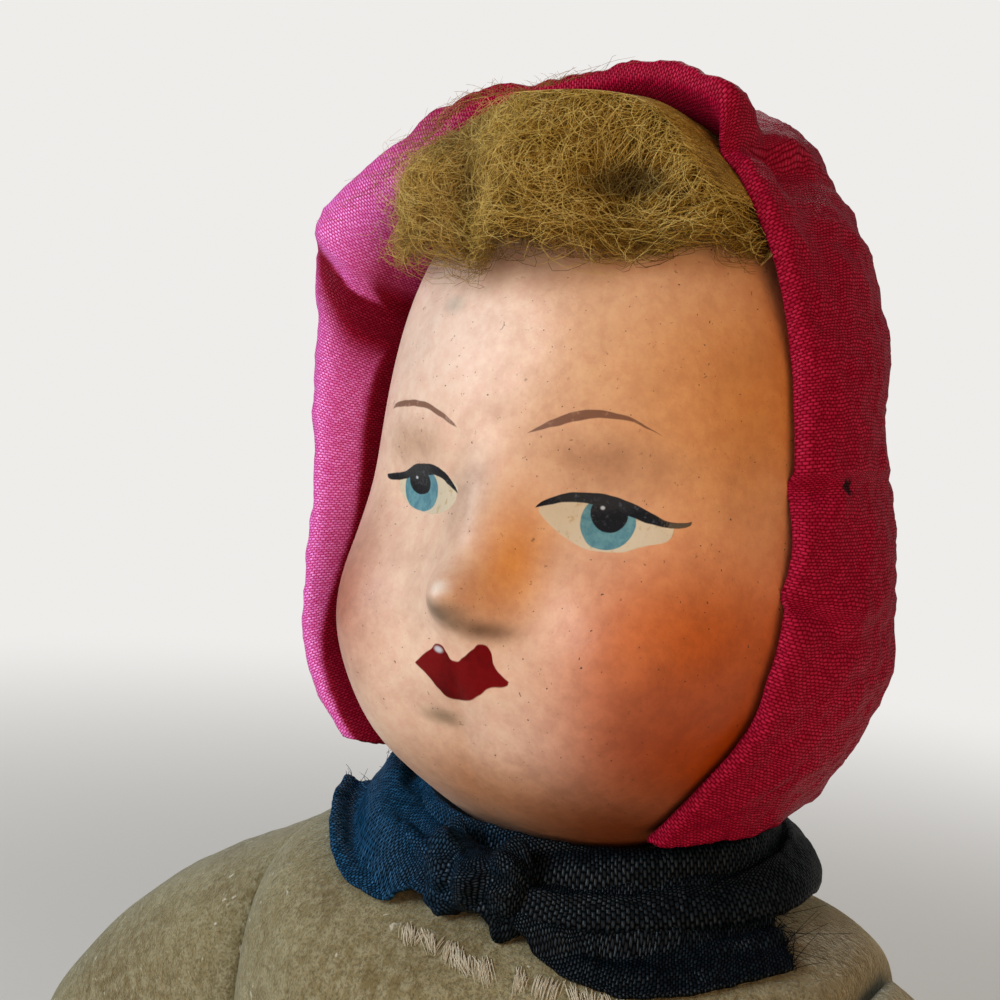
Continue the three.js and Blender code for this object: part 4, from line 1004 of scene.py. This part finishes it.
# %% Body
def body_seams(places):
    x, y, z = places.T
    joint = np.abs(x) > JOINT_FACE - 0.8
    neck = (np.hypot(x, y - NECK_Y) < 14) & (z > 120)
    back = (np.abs(x) < 1.6) & (y > 0)
    return joint | neck | back | (z < 1.2)


body = stuff(bag_from("torso_skin", "velveteen_body"), 2.6, 1.6, body_seams)
places = corners(body)
places[:, 0] = np.clip(places[:, 0], -JOINT_FACE * MM, JOINT_FACE * MM)
places[:, 2] = np.maximum(places[:, 2], 0)
move_corners(body, places)
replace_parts(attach(body, "torso"), "torso_skin", "torso_stuffing")


# %% Limbs
def arm_seams(places):
    x, y, z = places.T
    return (x < JOINT_FACE + 1.2) | ((np.abs(y) < 1.4) & (z < 118))


def leg_seams(places):
    x, y, z = places.T
    middle = np.interp(-y, [-22, 0, 36, 75, 110, 144], [46.8, 46.8, 50.3, 53.3, 55.4, 56.3])
    return (x < JOINT_FACE + 1.2) | (np.abs(x - middle) < 1.4) | (y < -142.6)


limbs = {}
for limb, seams, swell in (("arm", arm_seams, 1.5), ("leg", leg_seams, 1.4)):
    made = stuff(bag_from(f"{limb}_skin_left", f"velveteen_{limb}_left"), 2.4, swell, seams)
    places = corners(made)
    places[:, 0] = np.maximum(places[:, 0], (JOINT_FACE + 0.25) * MM)
    places[:, 2] = np.maximum(places[:, 2], 0.3 * MM)
    move_corners(made, places)
    other = bpy.data.objects.new(f"velveteen_{limb}_right", made.data.copy())
    bpy.context.collection.objects.link(other)
    move_corners(other, places * np.array([-1, 1, 1]))
    in_edit_mode(other, face_out)
    for side, piece in (("left", made), ("right", other)):
        limbs[f"{limb}_{side}"] = piece
        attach(piece, f"{limb}_{side}")
        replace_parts(piece, f"{limb}_skin_{side}", f"{limb}_stuffing_{side}")
print("stuffed:", len(body.data.polygons), "faces in the body,", [len(p.data.polygons) for p in limbs.values()])

# %% [markdown]
# ## Velveteen
# Velveteen is a cotton cloth with a short cut pile. The pile looks pale where it is seen from the
# side and dark where it is seen end on, lies in patches where it was stroked, and wears thin. A
# sheen layer gives the pale edges, and noise at four scales gives the patches, the tufts, the pile
# and the lint.

# %% Velveteen finish
velveteen = Finish("velveteen")
stroked = velveteen.speckle(55, 3, 0.6)
pile = velveteen.speckle(2600, 2, 0.7)
tufts = velveteen.speckle(700, 3, 0.65)
nap = mix(step(stroked, 0.32, 0.68), (110, 96, 62), (142, 132, 98))
nap = mix(step(tufts, 0.38, 0.68, 0, 0.6), nap, (166, 158, 128))
nap = mix(step(pile, 0.3, 0.6, 0.55, 0), nap, (68, 56, 34))
lint = step(velveteen.speckle(420, 2, 0.8), 0.68, 0.74, 0, 0.7)
nap = mix(lint, nap, (214, 208, 190))
velveteen.bump(times_plus(tufts, 1.4, pile), 0.00035, 0.8)
velveteen.set(
    Base_Color=nap, Roughness=0.95, Specular_IOR_Level=0.1, Sheen_Weight=0.9, Sheen_Roughness=0.35,
    Sheen_Tint=dye(228, 234, 218),
)
for piece in (body, *limbs.values()):
    dress(piece, velveteen)
print("velveteen:", len(velveteen.tree.nodes), "nodes")

# %% [markdown]
# ## Scarf
# A strip of ribbon goes once round the neck and is knotted in front, with two short ends. It
# lies in pleats, so the band is a sheet whose cross-section waves up and down. A sheet can be
# simulated, but the head has to turn above it, so it is laid by rule below the chin's sweep.


# %% Heights under and over the scarf
NECK_RADIUS, RIBBON, SWEEP_TOP = 19, 0.45, 138.5


def shoulder_height(x, y):
    hit, place, _, _ = body.ray_cast(Vector((x, y, 200)) * MM, Vector((0, 0, -1)))
    return place.z / MM if hit else 118


lip = mask_edge(np.array([-np.pi / 2]))[0]
under = on_head(lip * np.array([1, 0.9, 0.8, 0.7]), np.full(4, -np.pi / 2))
sweep_reach = [0, *(NECK_Y - under[:, 1]), 60]
sweep_height = [under[0, 2], *np.minimum(under[:, 2], SWEEP_TOP), SWEEP_TOP]


def below_head(places, gap=1):
    reach = np.hypot(places[:, 0], places[:, 1] - NECK_Y)
    places[:, 2] = np.minimum(places[:, 2], np.interp(reach, sweep_reach, sweep_height) - gap)
    return places


# %% Band round the neck
scarf_band = new_grid("ribbon_band", 240, 44)
flat_band = corners(scarf_band)
around, across = np.pi * flat_band[:, 0], flat_band[:, 1]
ring_height = {
    a: shoulder_height(NECK_RADIUS * math.cos(a), NECK_Y + NECK_RADIUS * math.sin(a)) for a in np.unique(around)
}
rest = np.array([ring_height[a] for a in around])
pleat = 0.75 * np.cos(8 * across + 1.3 * np.sin(2 * around) + 0.8) + 0.4 * np.cos(15 * across + 3 * around)
lift = 2.8 + 0.8 * np.cos(around - 0.6)
rise = 2 * np.sqrt(np.clip(1 - across**2, 0, 1)) + 2.4 + lift + pleat * (1 - across**2)
reach = 7.2 * across + 0.7 * np.sin(8 * across + 2 * np.sin(around))
slope = math.radians(32)
radius = NECK_RADIUS + reach * math.cos(slope) + rise * math.sin(slope) * 0.6
height = rest + rise - reach * math.sin(slope)
places = np.stack([radius * np.cos(around), NECK_Y + radius * np.sin(around), height], -1)
places[:, 2] += 0.35 * crumple(places, 0.3, 2)
below_head(places)
floor_of = np.array([shoulder_height(x, y) for x, y, _ in places])
places[:, 2] = np.maximum(places[:, 2], floor_of + 0.5)
move_corners(scarf_band, places * MM)
scale_map(scarf_band, 119, 18)
in_edit_mode(scarf_band, weld(1e-5))
thicken(scarf_band, RIBBON)
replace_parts(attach(scarf_band, "torso"), "scarf_band")
print("band top", places[:, 2].max().round(1))

# %% Knot
KNOT_Y = -19.6
knot = new_sphere("ribbon_knot", 96, 64)
ball = corners(knot)
turned = np.arctan2(ball[:, 2], -ball[:, 1])
far = np.abs(ball[:, 0])
open_out = ease(far, 0.12, 0.6)
ridges = open_out * (0.1 * np.cos(7 * turned + 1.2 * ball[:, 0]) + 0.03 * np.cos(13 * turned - 2 * ball[:, 0]))
round_end = np.sqrt(np.clip(1 - far**6, 0, 1)) / np.maximum(1e-3, np.sqrt(np.clip(1 - far**2, 0, 1)))
swell = (1 + ridges) * np.minimum(round_end, 1.7)
tall = 5.4 * (0.62 + 0.38 * open_out) * swell
deep = 4.2 * (0.74 + 0.26 * hill(far, 0.2) - 0.16 * hill(far - 0.34, 0.12)) * swell
rest = shoulder_height(0, KNOT_Y)
places = np.stack([6.6 * ball[:, 0], KNOT_Y + deep * ball[:, 1], rest + 4.6 + tall * ball[:, 2]], -1)
places += 0.3 * crumple_all_ways(places, 0.4, (2, 4, 6))
below_head(places)
move_corners(knot, places * MM)
scale_map(knot, 30, 18)
smooth(knot)
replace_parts(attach(knot, "torso"), "scarf_knot")
print("knot:", len(knot.data.polygons), "faces")


# %% Ends of the ribbon
tips = {}


def ribbon_end(name, node, first, last, near, far, half, drop, slant, lift, seed):
    end = new_grid(name, 90, 34)
    flat = corners(end)
    share, side = (flat[:, 0] + 1) / 2, flat[:, 1]
    around = np.radians(first + (last + slant * side - first) * share)
    width = half * (0.42 + 0.58 * ease(share, 0, 0.5))
    radius = near + (far - near) * share + width * side
    x, y = radius * np.cos(around), NECK_Y + radius * np.sin(around)
    band = np.sqrt(np.clip(1 - ((np.hypot(x, y - NECK_Y) - NECK_RADIUS) / 8.6) ** 2, 0, 1))
    rest = np.array([shoulder_height(a, b) for a, b in zip(x, y)])
    wave = 0.6 * np.cos(6 * side + 3 * share + seed) + 0.35 * np.cos(11 * side - 5 * share)
    z = rest + 1.5 + 4.6 * band + wave * (0.4 + share) - drop * share * np.clip(side, 0, 1) + lift * share**2
    places = below_head(np.stack([x, y, np.maximum(z, rest + 0.8)], -1))
    places += 0.25 * crumple_all_ways(places, 0.35, (seed, seed + 3, seed + 5))
    move_corners(end, places * MM)
    tips[name] = places[share > 0.999], places[(share > 0.97) & (share < 0.98)]
    scale_map(end, 32, 2 * half)
    thicken(end, RIBBON)
    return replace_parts(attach(end, "torso"), node)


tail_left = ribbon_end("ribbon_end_left", "scarf_tail_left", -77, -14, 24, 26.5, 7.2, 3, -8, 0, 1)
tail_right = ribbon_end("ribbon_end_right", "scarf_tail_right", -100, -164, 23.5, 25.5, 6.4, 1, 3, 3.4, 4)

# %% [markdown]
# The ends were cut with scissors and have frayed since: cross threads have come away, and the long
# threads stick out in a soft brush.

# %% Frayed threads
needle = np.random.default_rng(11)


def fray(name, count, longest):
    tip, inside = tips[name]
    place = needle.uniform(0, len(tip) - 1, count)
    row = np.arange(len(tip))
    start = point_on(tip, place, row)
    ahead = unit(start - point_on(inside, place, row))
    stray, curl = needle.normal(0, 0.35, (count, 3)), needle.normal(0, 0.8, (count, 3))
    length = longest * needle.uniform(0.2, 1, count) ** 2
    shares = np.linspace(0, 1, 6)
    paths = [below_head(start + length[:, None] * (ahead * s + stray * s + curl * s * s)) for s in shares]
    return comb(f"{name}_threads", np.stack(paths, 1), 0.055)


threads = [fray("ribbon_end_left", 220, 2.6), fray("ribbon_end_right", 90, 1.8)]
print("two ribbon ends with frayed threads")

# %% Ribbon finish
ribbon = Finish("ribbon")
over_under = float_weave(ribbon, 0.35, 1.5, 0.5)
lit_side_noise = ribbon.speckle(120, 3, 0.6)
# Painted light and shade: the ribbon is painted brighter and bluer towards the doll's right, the side that the window
# panel lights, and darker towards the doll's left.
window_lit_ribbon = step(times_plus(lit_side_noise, 0.014, split(ribbon.at)["X"]), 0.012, -0.012)
navy = mix(window_lit_ribbon, (2, 3, 5), (2, 10, 18))
steel_blue = mix(window_lit_ribbon, (14, 30, 40), (12, 92, 140))
raised = to_power(over_under, 1.6)
ribbon.bump(over_under, 0.00014, 0.9)
ribbon.set(
    Base_Color=mix(raised, navy, steel_blue), Roughness=0.42,
    Specular_IOR_Level=times_plus(raised, 0.3, 0.01),
)
for piece in (scarf_band, knot, tail_left, tail_right, *threads):
    dress(piece, ribbon)
for piece in threads:
    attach(piece, "torso")

# %% [markdown]
# ## Closing seam
# After stuffing, the body was closed by hand along its top edge with slanting stitches of soft
# white cotton, several threads at a time. Each stitch is a small arch that is laid on the cloth.

# %% Overcast stitches
SEAM = np.array([
    (-17, -21, 127.5), (-9.5, -23.4, 127.3), (-2.8, -22.3, 125.7),
    (3.1, -23.2, 125.2), (16.3, -21.7, 125.4), (24, -18.6, 125.6),
])


def on_body(place, lift):
    _, spot, normal, _ = body.closest_point_on_mesh(Vector(place) * MM)
    return np.array(spot + normal * lift * MM) / MM


stitches = []
for across in np.sort(needle.uniform(-7, 24, 42)):
    centre = point_on(SEAM, across, SEAM[:, 0]) + np.array([0, -1.3, -1])
    reach = np.array([needle.normal(0.6, 0.3), -needle.uniform(0.3, 0.9), -needle.uniform(0.4, 1)])
    for strand in range(needle.integers(5, 11)):
        shift, bow = needle.normal(0, 0.32, 3), needle.uniform(0.05, 0.3)
        path = [on_body(centre + shift + reach * s, 0.06 + bow * (1 - s * s)) for s in np.linspace(-1, 1, 7)]
        stitches.append(np.array(path))
seam_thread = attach(comb("seam_thread", stitches, 0.05), "torso")

# %% Cotton thread
cotton = Finish("cotton_thread")
soiled = cotton.speckle(400, 3, 0.6)
cotton.set(Base_Color=mix(soiled, (226, 218, 198), (186, 174, 144)), Roughness=0.8, Sheen_Weight=0.3)
dress(seam_thread, cotton)
print("stitches:", len(stitches), "threads")

# %% [markdown]
# ## Hidden parts
# The card discs and the steel pins of the joints and the cards in the soles are made already in the
# engineering model. They need no new shape, only a finish.

# %% Card and steel
card = Finish("card")
fibres = card.speckle(900, 4, 0.7)
card.bump(fibres, 0.0001, 0.5)
card.set(Base_Color=mix(fibres, (150, 118, 80), (186, 156, 112)), Roughness=0.9)
steel = Finish("steel")
drawn = steel.speckle(1500, 2, 0.6)
steel.set(Base_Color=dye(150, 150, 152), Metallic=1, Roughness=step(drawn, 0.3, 0.7, 0.3, 0.5))
for name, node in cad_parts.items():
    made_of = steel if "pin" in name else card if "disc" in name or "card" in name else None
    if made_of:
        for slot in node.material_slots:
            slot.material = made_of.material
print("card and steel on the hidden parts")
